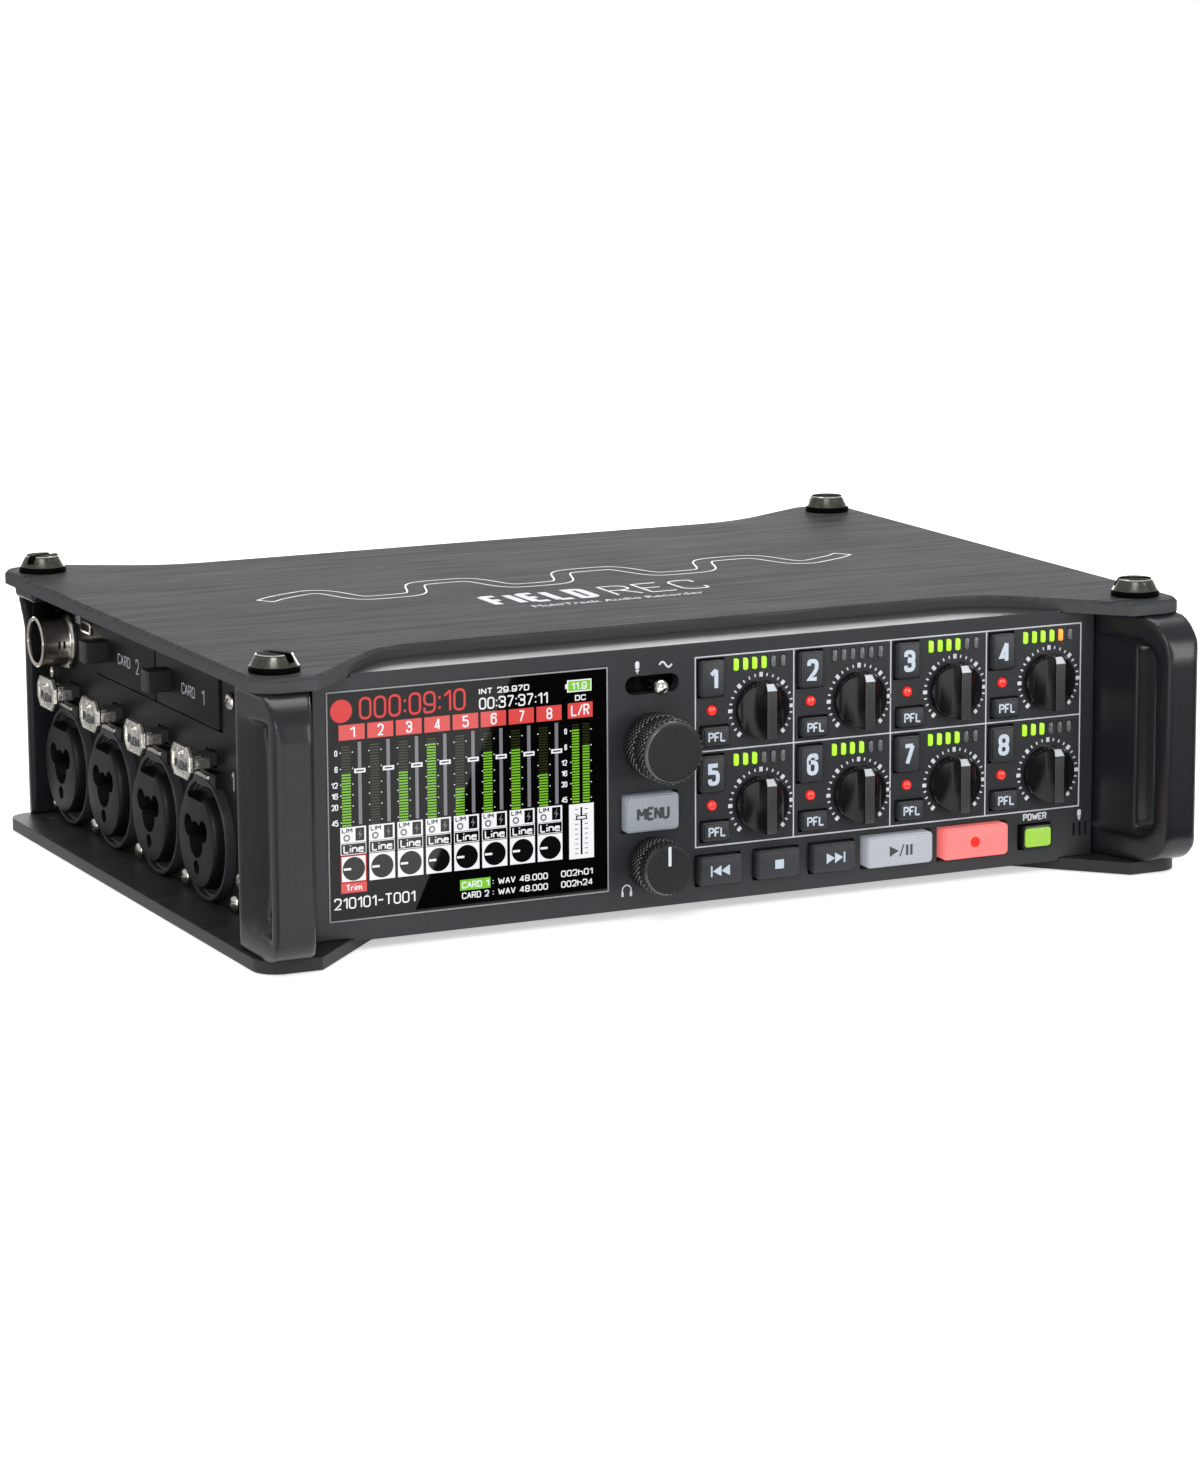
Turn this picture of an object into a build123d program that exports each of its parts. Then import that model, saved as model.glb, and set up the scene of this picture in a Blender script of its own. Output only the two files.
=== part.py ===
from build123d import *
import os

# Portable eight-input field recorder. Millimetres, +X right, +Y back, +Z up,
# origin on the underside of the bottom plate. One STEP file per named piece.

os.makedirs("parts", exist_ok=True)

# --- body ---------------------------------------------------------------
PLATE_X, PLATE_Y = 89.1, 66.0  # half width and half depth of both plates
PLATE_R = 4.5  # outer corner radius
BOTTOM_T = 2.2
TOP_Z0, TOP_Z1 = 47.1, 49.5
SCREW_X, SCREW_Y = 82.95, 58.4
SCREW_TOP = 53.6
TAPPED_R = 1.65  # M4 tapping drill, underside
FACE_Y, FACE_T = -56.6, 2.4
FACE_X = 75.6
FACE_Z0, FACE_Z1 = 1.75, 47.55
BACK_FACE = FACE_Y + FACE_T
RECESS_Y = -45.25
SIDE_X, SIDE_T = 79.6, 1.2
SIDE_Y0, SIDE_Y1 = -46.2, 63.2
REAR_Y, REAR_T = 58.0, 1.2

# --- front controls -----------------------------------------------------
WINDOW = (-73.2, -21.2, 5.35, 44.75)
KNOB_X = (8.3, 27.65, 46.95, 66.25)
KNOB_Z = (35.0, 18.2)
KNOB_R, SHAFT_R = 5.0, 3.0
ENCODER, ENCODER_R = (-12.9, 30.6), 5.7
PHONES_KNOB = (-12.9, 9.7)
TOGGLE = (-12.75, 41.05)
TOGGLE_PIVOT_Y = FACE_Y + 4.2
KEYS = {  # name: (x0, x1, z0, z1)
    "rewind_key": (-4.4, 4.05, 4.7, 9.8),
    "stop_key": (6.9, 15.4, 4.7, 9.8),
    "forward_key": (17.85, 26.55, 4.7, 9.8),
    "play_key": (28.3, 42.05, 4.4, 10.1),
    "record_key": (43.8, 57.6, 4.25, 10.1),
    "power_key": (60.5, 66.75, 4.7, 8.9),
    "menu_key": (-18.5, -8.25, 15.5, 21.95),
}
METER_DX = (-4.87, -3.04, -1.27, 0.56, 2.38, 4.26)

# --- side connectors ----------------------------------------------------
JACK_Y = (-19.3, 4.5, 28.3, 51.9)
JACK_Z = 13.4
PLUG_R = 3.25  # 6.35 mm plug socket
PLUG_DEPTH = 20.0
JACK_FACE = 82.8
TAB_Z = 27.6
DC = (54.8, 36.9)
DOOR_Z = (33.3, 43.0)
DOORS = {"card_door_1": (-24.5, 6.3), "card_door_2": (6.95, 38.6)}
DOOR_PIVOT_X = -79.15
PHONES_JACK = (52.0, 36.9)
LINE_OUTS = (34.0, 18.0)

# --- battery tray -------------------------------------------------------
CELL_R, CELL_L = 7.2, 50.5
CELL_X = (-22.8, -7.6, 7.6, 22.8)
CELL_Z = (13.2, 28.4)


def block(x0, x1, y0, y1, z0, z1):
    size = Box(abs(x1 - x0), abs(y1 - y0), abs(z1 - z0))
    return Pos((x0 + x1) / 2, (y0 + y1) / 2, (z0 + z1) / 2) * size


def rod_x(y, z, r, x0, x1):
    return Pos((x0 + x1) / 2, y, z) * Rot(0, 90, 0) * Cylinder(r, abs(x1 - x0))


def rod_y(x, z, r, y0, y1):
    return Pos(x, (y0 + y1) / 2, z) * Rot(90, 0, 0) * Cylinder(r, abs(y1 - y0))


def rod_z(x, y, r, z0, z1):
    return Pos(x, y, (z0 + z1) / 2) * Cylinder(r, abs(z1 - z0))


def prism(points, z0, z1):
    face = make_face(Polyline(*points, close=True))
    return extrude(Pos(0, 0, z0) * face, amount=z1 - z0, dir=(0, 0, 1))


def profile_x(points, x0, x1):
    """Extrude a (y, z) polygon along X."""
    face = make_face(Polyline(*[(x0, y, z) for y, z in points], close=True))
    return extrude(face, amount=x1 - x0, dir=(1, 0, 0))


def mirrored(shape):
    return mirror(shape, about=Plane.YZ)


def joined(items):
    items = list(items)
    out = items[0]
    for item in items[1:]:
        out = out + item
    return out


def group(items):
    """Several separate solids kept in one node."""
    solids = []
    for item in items:
        solids += list(item.solids())
    return Compound(children=solids)


def save(name, shape):
    shape.label = name
    export_step(shape, f"parts/{name}.step")


def corners():
    return [(sx * SCREW_X, sy * SCREW_Y) for sx in (-1, 1) for sy in (-1, 1)]


# --- plates -------------------------------------------------------------
def plate(z0, z1):
    half = [(58.1, -45.0), (78.3, -66.0), (PLATE_X, -PLATE_Y), (PLATE_X, PLATE_Y)]
    half += [(79.5, 66.0), (59.7, 55.0)]
    outline = half + [(-x, y) for x, y in reversed(half)]
    face = make_face(Polyline(*outline, close=True))
    rounds = (((PLATE_X, 66.0), PLATE_R), ((58.1, 45.0), 14.4), ((59.7, 55.0), 30.0))
    for (x, y), radius in rounds:
        picked = [
            v
            for v in face.vertices()
            if abs(abs(v.X) - x) < 0.05 and abs(abs(v.Y) - y) < 0.05
        ]
        face = fillet(picked, radius)
    return extrude(Pos(0, 0, z0) * face, amount=z1 - z0, dir=(0, 0, 1))


def make_plates():
    top = plate(TOP_Z0, TOP_Z1)
    rim = top.faces().sort_by(Axis.Z)[-1].edges()
    top = chamfer(rim, 0.6)
    bottom = plate(0, BOTTOM_T)
    for x, y in corners():
        top = top - rod_z(x, y, 1.7, TOP_Z0 - 1, TOP_Z1 + 1)
        bottom = bottom - rod_z(x, y, TAPPED_R, -1, BOTTOM_T + 1)
    save("top_plate", top)
    save("bottom_plate", bottom)


# --- corner handles and screws --------------------------------------------
HANDLE_FRONT = -72.3
BAR_BACK = -68.4
SLOT_Z = (8.0, 41.2)


def inner_scoop():
    """The shallow hollow on the side of the handle that faces the panel."""
    round_cut = rod_z(56.3, -69.35, 25.0, 0, 50)
    limit = block(70, 83, -70.6, -52.5, 6.6, 42.6)
    return round_cut & fillet(limit.edges().filter_by(Axis.X), 6.0)


def front_handle():
    plan = [(74.5, -50.0), (74.5, -46.4), (83.5, -46.4), (88.35, -54.0)]
    plan += [(88.35, HANDLE_FRONT), (81.9, HANDLE_FRONT)]
    body = prism(plan, BOTTOM_T, TOP_Z0)
    side = make_face(
        Polyline(
            (70, -40, BOTTOM_T), (70, HANDLE_FRONT, BOTTOM_T),
            (70, HANDLE_FRONT, TOP_Z0), (70, -40, TOP_Z0), close=True,
        )
    )
    tool = extrude(side, amount=30, dir=(1, 0, 0))
    low = [
        e for e in tool.edges().filter_by(Axis.X) if e.center().Y < HANDLE_FRONT + 1
    ]
    low.sort(key=lambda e: e.center().Z)
    tool = fillet([low[1]], 8.0)
    low = [
        e
        for e in tool.edges().filter_by(Axis.X)
        if e.center().Y < HANDLE_FRONT + 1 and e.center().Z < BOTTOM_T + 1
    ]
    tool = fillet(low, 7.0)
    body = body & tool
    gap = [(77, -66.05), (77, BAR_BACK), (90, BAR_BACK), (90, -55.4)]
    gap += [(87.4, -60.0), (86.3, -62.0), (83.5, -62.6), (80.0, -63.8)]
    gap = prism(gap, 0, 50)
    window = block(76, 91, BAR_BACK, -54.5, SLOT_Z[0], SLOT_Z[1])
    window = fillet(window.edges().filter_by(Axis.X), 3.0)
    body = body - (gap & window) - inner_scoop()
    body = body - rod_z(SCREW_X, -SCREW_Y, 1.6, 36.5, TOP_Z0 + 1)
    return body - rod_z(SCREW_X, -SCREW_Y, TAPPED_R, 0, 10)


def rear_post():
    x0, x1, y0, y1 = 72.0, 84.6, 63.5, 67.8
    body = block(x0, x1, y0, y1, BOTTOM_T, TOP_Z0)
    outer = [e for e in body.edges().filter_by(Axis.Z) if e.center().X > x1 - 0.1]
    body = fillet([e for e in outer if e.center().Y > 66], 3.0)
    flare = profile_flare(x1)
    foot = block(79.9, 86.6, 53.9, 64.5, 44.3, TOP_Z0)
    body = body + flare + foot
    return body - rod_z(SCREW_X, SCREW_Y, 1.6, 44.0, TOP_Z0 + 1)


def profile_flare(x1):
    """Outward sweep of the rear post just under the top plate."""
    face = make_face(
        Polyline((x1 - 3, 63.5, 38.0), (x1, 63.5, 38.0), (x1 + 1.7, 63.5, TOP_Z0),
                 (x1 - 3, 63.5, TOP_Z0), close=True)
    )
    return extrude(face, amount=2.0, dir=(0, 1, 0))


def make_handles():
    right = [front_handle(), rear_post()]
    save("corner_handles", group(right + [mirrored(s) for s in right]))


def corner_screw(x, y, turn):
    foot = 37.0 if y < 0 else 44.6
    body = rod_z(x, y, 4.65, TOP_Z1, TOP_Z1 + 0.9)
    height = SCREW_TOP - TOP_Z1 - 0.9
    head = Pos(x, y, TOP_Z1 + 0.9 + height / 2) * Cone(4.15, 3.45, height)
    body = body + head + rod_z(x, y, 1.5, foot, TOP_Z1)
    slot = Pos(x, y, SCREW_TOP) * Rot(0, 0, turn) * Box(9, 1.5, 3.4)
    return body - slot


def make_corner_screws():
    turns = {(-1, -1): 18, (-1, 1): 40, (1, -1): 0, (1, 1): 0}
    parts = [
        corner_screw(sx * SCREW_X, sy * SCREW_Y, turn)
        for (sx, sy), turn in turns.items()
    ]
    save("corner_screws", group(parts))


# --- front panel ----------------------------------------------------------
def track_centres():
    return [(x, z) for z in KNOB_Z for x in KNOB_X]


def track_key_box(x, z):
    return (x - 9.8 - 2.35, x - 9.8 + 2.35, z + 6.15 - 3.2, z + 6.15 + 3.2)


def pfl_key_box(x, z):
    return (x - 9.15 - 2.6, x - 9.15 + 2.6, z - 4.1 - 1.68, z - 4.1 + 1.68)


def led_centre(x, z):
    return (x - 9.6, z + 0.45)


def key_hole(box, gap=0.25):
    x0, x1, z0, z1 = box
    return block(x0 - gap, x1 + gap, FACE_Y - 1, BACK_FACE + 1, z0 - gap, z1 + gap)


def face_hole(x, z, r):
    return rod_y(x, z, r, FACE_Y - 1, BACK_FACE + 1)


def ear_clearance(z0, z1):
    """Space kept clear around the two front ears of a plate."""
    ear = [(50, -40), (50, -45.3), (55, -45.65), (57.45, -46.4), (60.1, -47.8)]
    ear += [(62.2, -49.6), (78.1, -66.35), (95, -66.35), (95, -40)]
    right = prism(ear, z0, z1)
    return right + mirrored(right)


def make_front_panel():
    panel = block(-FACE_X, FACE_X, FACE_Y, BACK_FACE, FACE_Z0, FACE_Z1)
    hood = block(-74.2, 74.2, BACK_FACE - 0.5, RECESS_Y, 46.0, FACE_Z1)
    hood = hood + block(-74.2, 74.2, RECESS_Y - 1, -43.0, 46.0, TOP_Z0 - 0.1)
    floor = block(-74.2, 74.2, BACK_FACE - 0.5, RECESS_Y, FACE_Z0, 3.4)
    floor = floor + block(-74.2, 74.2, RECESS_Y - 1, -43.0, BOTTOM_T + 0.1, 3.4)
    walls = block(73.35, 74.2, BACK_FACE - 0.5, -46.0, BOTTOM_T + 0.5, 46.5)
    panel = panel + hood + floor + walls + mirrored(walls)
    panel = panel - ear_clearance(TOP_Z0 - 0.1, 52) - ear_clearance(-2, BOTTOM_T + 0.1)
    cuts = [key_hole(WINDOW, 0.05)]
    cuts += [key_hole(box) for box in KEYS.values()]
    for x, z in track_centres():
        cuts.append(key_hole(track_key_box(x, z)))
        cuts.append(key_hole(pfl_key_box(x, z)))
        cuts.append(face_hole(x, z, SHAFT_R + 0.1))
        cuts.append(face_hole(*led_centre(x, z), 1.0))
        for dx in METER_DX:
            bar = (x + dx - 0.45, x + dx + 0.45, z + 7.05, z + 9.2)
            cuts.append(key_hole(bar, 0.02))
    cuts += [face_hole(x, z, SHAFT_R + 0.1) for x, z in (ENCODER, PHONES_KNOB)]
    tx, tz = TOGGLE
    cuts.append(key_hole((tx - 3.5, tx + 3.5, tz - 1.62, tz + 1.62), 0))
    cuts += [face_hole(tx + s * 3.5, tz, 1.62) for s in (-1, 1)]
    cuts += [key_hole((x - 0.2, x + 0.2, 5.95, 8.4), 0) for x in (72.0, 73.25, 74.5)]
    save("front_panel", panel - cuts)


def key(box, proud=1.2):
    x0, x1, z0, z1 = box
    back = BACK_FACE + 1.0
    body = block(x0, x1, FACE_Y - proud, back, z0, z1)
    body = fillet(body.edges().filter_by(Axis.Y), 0.6)
    lip = block(x0 - 0.6, x1 + 0.6, BACK_FACE + 0.25, back, z0 - 0.6, z1 + 0.6)
    return body + lip


def make_keys():
    for i, (x, z) in enumerate(track_centres(), 1):
        save(f"track_key_{i}", key(track_key_box(x, z)))
        save(f"pfl_key_{i}", key(pfl_key_box(x, z)))
    for name, box in KEYS.items():
        save(name, key(box, 1.5))


def control_shaft(x, z, front):
    return rod_y(x, z, SHAFT_R, FACE_Y - front, FACE_Y + 4.6)


def track_knob(x, z):
    y = FACE_Y
    base = rod_y(x, z, KNOB_R, y - 1.3, y - 0.2)
    ridge = [(x - 2.2, y - 1.0), (x - 0.95, y - 4.4), (x + 0.95, y - 4.4), (x + 2.2, y - 1.0)]
    ridge = prism(ridge, z - 4.75, z + 4.75) & rod_y(x, z, KNOB_R, y - 5, y - 0.5)
    return base + ridge + control_shaft(x, z, 0.5)


def make_knobs():
    for i, (x, z) in enumerate(track_centres(), 1):
        save(f"track_knob_{i}", track_knob(x, z))
    y = FACE_Y
    x, z = ENCODER
    save("select_encoder_shaft", rod_y(x, z, SHAFT_R, y - 7.3, y + 4.2))
    cap = rod_y(x, z, ENCODER_R, y - 9.0, y - 0.8)
    save("select_encoder_knob", cap - rod_y(x, z, SHAFT_R + 0.05, y - 7.4, y))
    x, z = PHONES_KNOB
    save("headphone_knob", rod_y(x, z, 4.75, y - 7.0, y - 0.3) + control_shaft(x, z, 0.5))
    x, z = TOGGLE
    lever = rod_y(x, z, 0.75, y - 3.8, TOGGLE_PIVOT_Y) + Pos(x, y - 3.4, z) * Sphere(1.35)
    save("slate_toggle", lever + rod_z(x, TOGGLE_PIVOT_Y, 0.8, z - 2.4, z + 2.4))


def make_display():
    x0, x1, z0, z1 = WINDOW
    y = FACE_Y
    save("display_window", block(x0, x1, y, y + 1.2, z0, z1))
    save("display_module", block(x0 + 0.1, x1 - 0.1, y + 1.3, y + 4.5, z0 + 0.1, z1 - 0.1))
    leds = []
    for x, z in track_centres():
        lx, lz = led_centre(x, z)
        leds.append(rod_y(lx, lz, 0.95, y - 0.3, BACK_FACE))
        for dx in METER_DX:
            leds.append(block(x + dx - 0.45, x + dx + 0.45, y - 0.05, BACK_FACE,
                              z + 7.05, z + 9.2))
    save("indicator_leds", group(leds))


# --- side panels ----------------------------------------------------------
SCREWS_YZ = ((-30.0, 3.95), (-6.2, 3.95), (17.6, 3.95), (41.4, 3.95), (-33.0, 8.5), (-29.7, 39.3))


def side_blank():
    panel = block(SIDE_X - SIDE_T, SIDE_X, SIDE_Y0, SIDE_Y1, BOTTOM_T + 0.05, TOP_Z0 - 0.05)
    cuts = [rod_x(y, JACK_Z, 10.25, 70, 90) for y in JACK_Y]
    cuts += [block(70, 90, y - 2.6, y + 2.6, 26.1, 29.1) for y in JACK_Y]
    cuts += [rod_x(y, z, 0.85, 70, 90) for y, z in SCREWS_YZ]
    return panel - cuts


def make_sides():
    left = mirrored(side_blank())
    cuts = [rod_x(DC[0], DC[1], 4.65, -90, -70)]
    cuts.append(block(-90, -70, -25.1, 39.0, DOOR_Z[0] - 0.4, DOOR_Z[1] + 0.4))
    cuts.append(block(-90, -70, 41.0, 47.4, 39.6, 41.9))
    for y0, _ in DOORS.values():
        cuts.append(rod_z(DOOR_PIVOT_X, y0 + 0.5, 0.36, DOOR_Z[0] - 1.0, DOOR_Z[1] + 1.0))
    save("left_panel", left - cuts)
    right = side_blank()
    cuts = [rod_x(PHONES_JACK[0], PHONES_JACK[1], 4.85, 70, 90)]
    cuts += [rod_x(y, 37.0, 4.45, 70, 90) for y in LINE_OUTS]
    cuts.append(rod_x(2.0, 37.0, 2.75, 70, 90))
    save("right_panel", right - cuts)


def input_jack(y):
    lip = rod_x(y, JACK_Z, 10.95, SIDE_X, 81.4) - rod_x(y, JACK_Z, 10.2, SIDE_X, 90)
    tube = rod_x(y, JACK_Z, 10.2, 55, 80.2) - rod_x(y, JACK_Z, 9.6, 56.5, 90)
    web = rod_x(y, JACK_Z, 10.6, 79.6, 80.2) - rod_x(y, JACK_Z, 9.6, 79, 81)
    insert = rod_x(y, JACK_Z, 8.5, 55, JACK_FACE)
    shroud = block(SIDE_X, 80.9, y - 5.2, y + 5.2, 22.6, 25.7) - rod_x(y, JACK_Z, 9.9, 79, 82)
    jack = tube + lip + web + insert + shroud
    jack = jack - rod_x(y, JACK_Z, PLUG_R, JACK_FACE - PLUG_DEPTH, 90)
    for dy, dz in ((-4.9, 2.8), (4.9, 2.8), (0.0, -5.8)):
        jack = jack - rod_x(y + dy, JACK_Z + dz, 1.2, 68, 90)
    return jack


def latch(y):
    flat, cut = 4.65, 1.9
    tab = block(84.4, 85.5, y - flat, y + flat, TAB_Z - 2.9, TAB_Z + 2.9)
    tab = chamfer(tab.edges().filter_by(Axis.X), cut)
    stem = block(75.2, 84.5, y - 2.3, y + 2.3, 26.4, 28.8)
    lug = block(75.2, 76.4, y - 3.6, y + 3.6, 26.0, 29.2)
    pawl = block(83.4, 84.5, y - 4.6, y - 0.6, 23.8, 27.0)
    return tab + stem + lug + pawl


def make_inputs():
    right = [input_jack(y) for y in JACK_Y]
    save("input_jacks", group([mirrored(j) for j in right] + right))
    for i, y in enumerate(JACK_Y, 1):
        save(f"input_latch_{i}", mirrored(latch(y)))
    save("input_latches_5_8", group([latch(y) for y in JACK_Y]))


def panel_screw(side, y, z):
    head = rod_x(y, z, 1.6, side * SIDE_X, side * (SIDE_X + 1.0))
    shank = rod_x(y, z, 0.8, side * (SIDE_X - 4), side * (SIDE_X + 0.2))
    cross = block(side * 80.2, side * 81, y - 0.8, y + 0.8, z - 0.2, z + 0.2)
    cross = cross + block(side * 80.2, side * 81, y - 0.2, y + 0.2, z - 0.8, z + 0.8)
    return head + shank - cross


def make_panel_screws():
    save("panel_screws", group([panel_screw(s, y, z) for s in (-1, 1) for y, z in SCREWS_YZ]))


def make_power_connector():
    y, z = DC
    body = rod_x(y, z, 4.6, -86.2, -66.0) + rod_x(y, z, 5.6, -80.6, -79.6)
    body = body - rod_x(y, z, 3.9, -90, -82.2)
    for k in range(4):
        pin = Pos(0, y, z) * Rot(45 + 90 * k, 0, 0) * Pos(0, 1.8, 0)
        body = body + pin * (Pos(-83.7, 0, 0) * Rot(0, 90, 0) * Cylinder(0.4, 3.4))
    save("dc_power_connector", body)


def make_doors():
    z0, z1 = DOOR_Z
    for name, (y0, y1) in DOORS.items():
        grip = y0 + 23.3 if name == "card_door_1" else y0 + 24.5
        door = block(-79.9, -78.9, y0, y1, z0, z1)
        door = door + block(-84.5, -79.5, grip, grip + 3.6, 36.2, 40.3)
        pivot = y0 + 0.5
        door = door + rod_z(DOOR_PIVOT_X, pivot, 0.3, z0 - 0.8, z0 + 0.5)
        door = door + rod_z(DOOR_PIVOT_X, pivot, 0.3, z1 - 0.5, z1 + 0.8)
        save(name, door)


# --- rear -----------------------------------------------------------------
BNC = ((-44.8, 31.0), (-44.8, 14.5))
BARREL = (44.8, 31.0)
CAPSULE = (38.6, 51.4, 11.0, 17.0)
STEP_X = 53.4


def make_rear():
    z0, z1 = BOTTOM_T + 0.05, TOP_Z0 - 0.05
    shell = block(-STEP_X, STEP_X, REAR_Y - REAR_T, REAR_Y, z0, z1)
    shell = shell + block(-52, 52, 49.0, REAR_Y - 0.2, z1 - 1.2, z1)
    shell = shell + block(-52, 52, 49.0, REAR_Y - 0.2, z0, z0 + 1.0)
    for s in (-1, 1):
        a, b = sorted((s * STEP_X, s * (STEP_X + 1.2)))
        shell = shell + block(a, b, REAR_Y - REAR_T, 63.9, z0, z1)
        a, b = sorted((s * (STEP_X + 0.5), s * 71.7))
        shell = shell + block(a, b, 62.7, 63.9, z0, z1)
        shell = shell + block(a, b, 51.5, 63.0, z1 - 1.2, z1)
        shell = shell + block(a, b, 51.5, 63.0, z0, z0 + 0.8)
    bay = block(-32.5, 32.5, 0.0, REAR_Y - 0.2, 3.9, 38.2)
    inner = block(-31.5, 31.5, 0.8, REAR_Y + 5, 4.9, 37.2)
    shell = shell + bay - inner
    cuts = [rod_y(x, z, 4.85, 50, 70) for x, z in BNC]
    cuts.append(rod_y(*BARREL, 3.05, 50, 70))
    x0, x1, cz0, cz1 = CAPSULE
    cuts.append(block(x0 - 0.05, x1 + 0.05, 55, 70, cz0 - 0.05, cz1 + 0.05))
    save("rear_chassis", shell - cuts)


def make_tray():
    y0 = REAR_Y - 56.0
    tray = block(-31.2, 31.2, y0, REAR_Y + 0.4, 5.2, 36.9)
    for z in CELL_Z:
        tray = tray - block(-30.2, 30.2, y0 + 1.5, y0 + 53.5, z - 7.25, z + 7.15)
    tray = tray - block(-30.2, 30.2, y0 + 1.5, y0 + 53.5, 35.4, 40)
    face = block(-35.0, 35.0, REAR_Y + 0.2, REAR_Y + 2.4, 3.6, 40.0)
    grip = block(-12.0, 12.0, REAR_Y + 2.2, REAR_Y + 4.6, 33.5, 36.0)
    save("battery_tray", tray + face + grip)
    a = y0 + 2.0
    cells = [rod_y(x, z, CELL_R - 0.05, a, a + CELL_L - 1) + rod_y(x, z, 2.6, a + 49, a + CELL_L)
             for x in CELL_X for z in CELL_Z]
    save("battery_cells", group(cells))


def bnc(x, z):
    body = rod_y(x, z, 4.8, 46.0, 67.6) - rod_y(x, z, 4.1, 60.0, 72)
    return body + (rod_y(x, z, 6.2, REAR_Y, 59.4) - rod_y(x, z, 4.5, 50, 70)) + rod_y(
        x, z, 1.2, 59.9, 65.6)


def card_socket(y0, y1):
    body = block(-77.5, -50.0, y0, y1, 36.2, 40.4)
    return body - block(-80.0, -52.0, y0 + 1.5, y1 - 1.5, 37.1, 39.4)


def line_out(y):
    body = rod_x(y, 37.0, 4.4, 64.0, 82.4) + rod_x(y, 37.0, 5.4, SIDE_X, 80.4)
    return body - rod_x(y, 37.0, 3.7, 72.0, 84.0)


def make_connectors():
    y, z = PHONES_JACK
    phones = rod_x(y, z, 4.8, 58.0, 80.4) + rod_x(y, z, 5.6, SIDE_X, 81.2)
    phones = phones - rod_x(y, z, PLUG_R, 81.2 - PLUG_DEPTH, 84.0)
    mini = rod_x(2.0, 37.0, 2.7, 66.0, 80.0) + rod_x(2.0, 37.0, 3.6, SIDE_X, 80.6)
    mini = mini - rod_x(2.0, 37.0, 1.8, 67.0, 84.0)
    barrel = rod_y(*BARREL, 3.0, 48.0, 58.6) - rod_y(*BARREL, 2.7, 50.0, 64.0)
    barrel = barrel + rod_y(*BARREL, 1.0, 49.0, 57.6)
    x0, x1, z0, z1 = CAPSULE
    capsule = block(x0, x1, 50.0, 59.0, z0, z1)
    capsule = capsule - block(x0 + 1, x1 - 1, 52.5, 64.0, z0 + 1, z1 - 1)
    usb = block(-79.8, -72.0, 41.1, 47.3, 39.7, 41.8)
    usb = usb - block(-81.0, -73.0, 41.5, 46.9, 40.05, 41.45)
    parts = [bnc(x, v) for x, v in BNC] + [barrel, capsule, usb, phones, mini]
    parts += [line_out(v) for v in LINE_OUTS]
    parts += [card_socket(-22.0, 4.5), card_socket(9.5, 36.0)]
    save("signal_connectors", group(parts))


def make_boards():
    front = block(-73.0, 73.0, BACK_FACE + 3.0, BACK_FACE + 4.6, 4.0, 45.0)
    main = block(-48.0, 50.0, -48.0, 44.0, 41.5, 43.1)
    left = block(-54.5, -53.0, -32.0, 54.0, 4.0, 34.0)
    right = block(53.0, 54.5, -32.0, 54.0, 4.0, 34.0)
    save("circuit_boards", group([front, main, left, right]))


make_plates()
make_handles()
make_corner_screws()
make_front_panel()
make_keys()
make_knobs()
make_display()
make_sides()
make_inputs()
make_panel_screws()
make_power_connector()
make_doors()
make_rear()
make_tray()
make_connectors()
make_boards()
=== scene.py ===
import math
import re

import bmesh
import bpy
from mathutils import Matrix, Vector


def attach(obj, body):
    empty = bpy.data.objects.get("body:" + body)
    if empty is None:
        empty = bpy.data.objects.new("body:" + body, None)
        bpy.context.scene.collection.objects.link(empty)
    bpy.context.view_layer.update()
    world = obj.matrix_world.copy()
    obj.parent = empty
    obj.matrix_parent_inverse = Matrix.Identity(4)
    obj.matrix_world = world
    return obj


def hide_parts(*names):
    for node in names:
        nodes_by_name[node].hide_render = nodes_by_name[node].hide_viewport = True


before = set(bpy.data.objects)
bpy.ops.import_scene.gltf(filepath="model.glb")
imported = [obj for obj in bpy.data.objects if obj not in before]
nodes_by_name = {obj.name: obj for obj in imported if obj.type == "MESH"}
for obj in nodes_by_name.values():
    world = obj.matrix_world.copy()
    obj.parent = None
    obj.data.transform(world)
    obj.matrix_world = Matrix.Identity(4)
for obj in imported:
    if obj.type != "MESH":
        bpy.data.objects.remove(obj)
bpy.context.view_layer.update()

scene = bpy.context.scene
MM = 0.001
HERE = Matrix.Identity(4)


# ---- places
def plane(origin, right, up):
    """A local frame in millimetres: u to the right, v up, w out of the surface."""
    r, u = Vector(right), Vector(up)
    m = Matrix((r, u, r.cross(u))).transposed().to_4x4()
    m.translation = Vector(origin)
    return m


FACE_Y = -56.6
SIDE_X = 79.6
FRONT = plane((0, FACE_Y, 0), (1, 0, 0), (0, 0, 1))
LEFT = plane((-SIDE_X, 0, 0), (0, -1, 0), (0, 0, 1))
RIGHT = plane((SIDE_X, 0, 0), (0, 1, 0), (0, 0, 1))
SIDES = ((LEFT, -1), (RIGHT, 1))
BACK = plane((0, 58.0, 0), (-1, 0, 0), (0, 0, 1))
TOP = plane((0, 0, 49.5), (1, 0, 0), (0, 1, 0))
KNOB_X = (8.3, 27.65, 46.95, 66.25)
KNOB_Z = (35.0, 18.2)
CHANNELS = [(x, z) for z in KNOB_Z for x in KNOB_X]
ENCODER = (-12.9, 30.6)
PHONES_KNOB = (-12.9, 9.7)
TOGGLE = (-12.75, 41.05)
JACK_Y = (-19.3, 4.5, 28.3, 51.9)
JACK_Z = 13.4
TAB_Z = 27.6
DC = (54.8, 36.9)


def spot(at, u, v):
    """The local frame moved to a point of its own face."""
    return at @ Matrix.Translation((u, v, 0))


def polar(degrees, far):
    """The point at an angle and a distance from the origin."""
    a = math.radians(degrees)
    return far * math.cos(a), far * math.sin(a)


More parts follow.
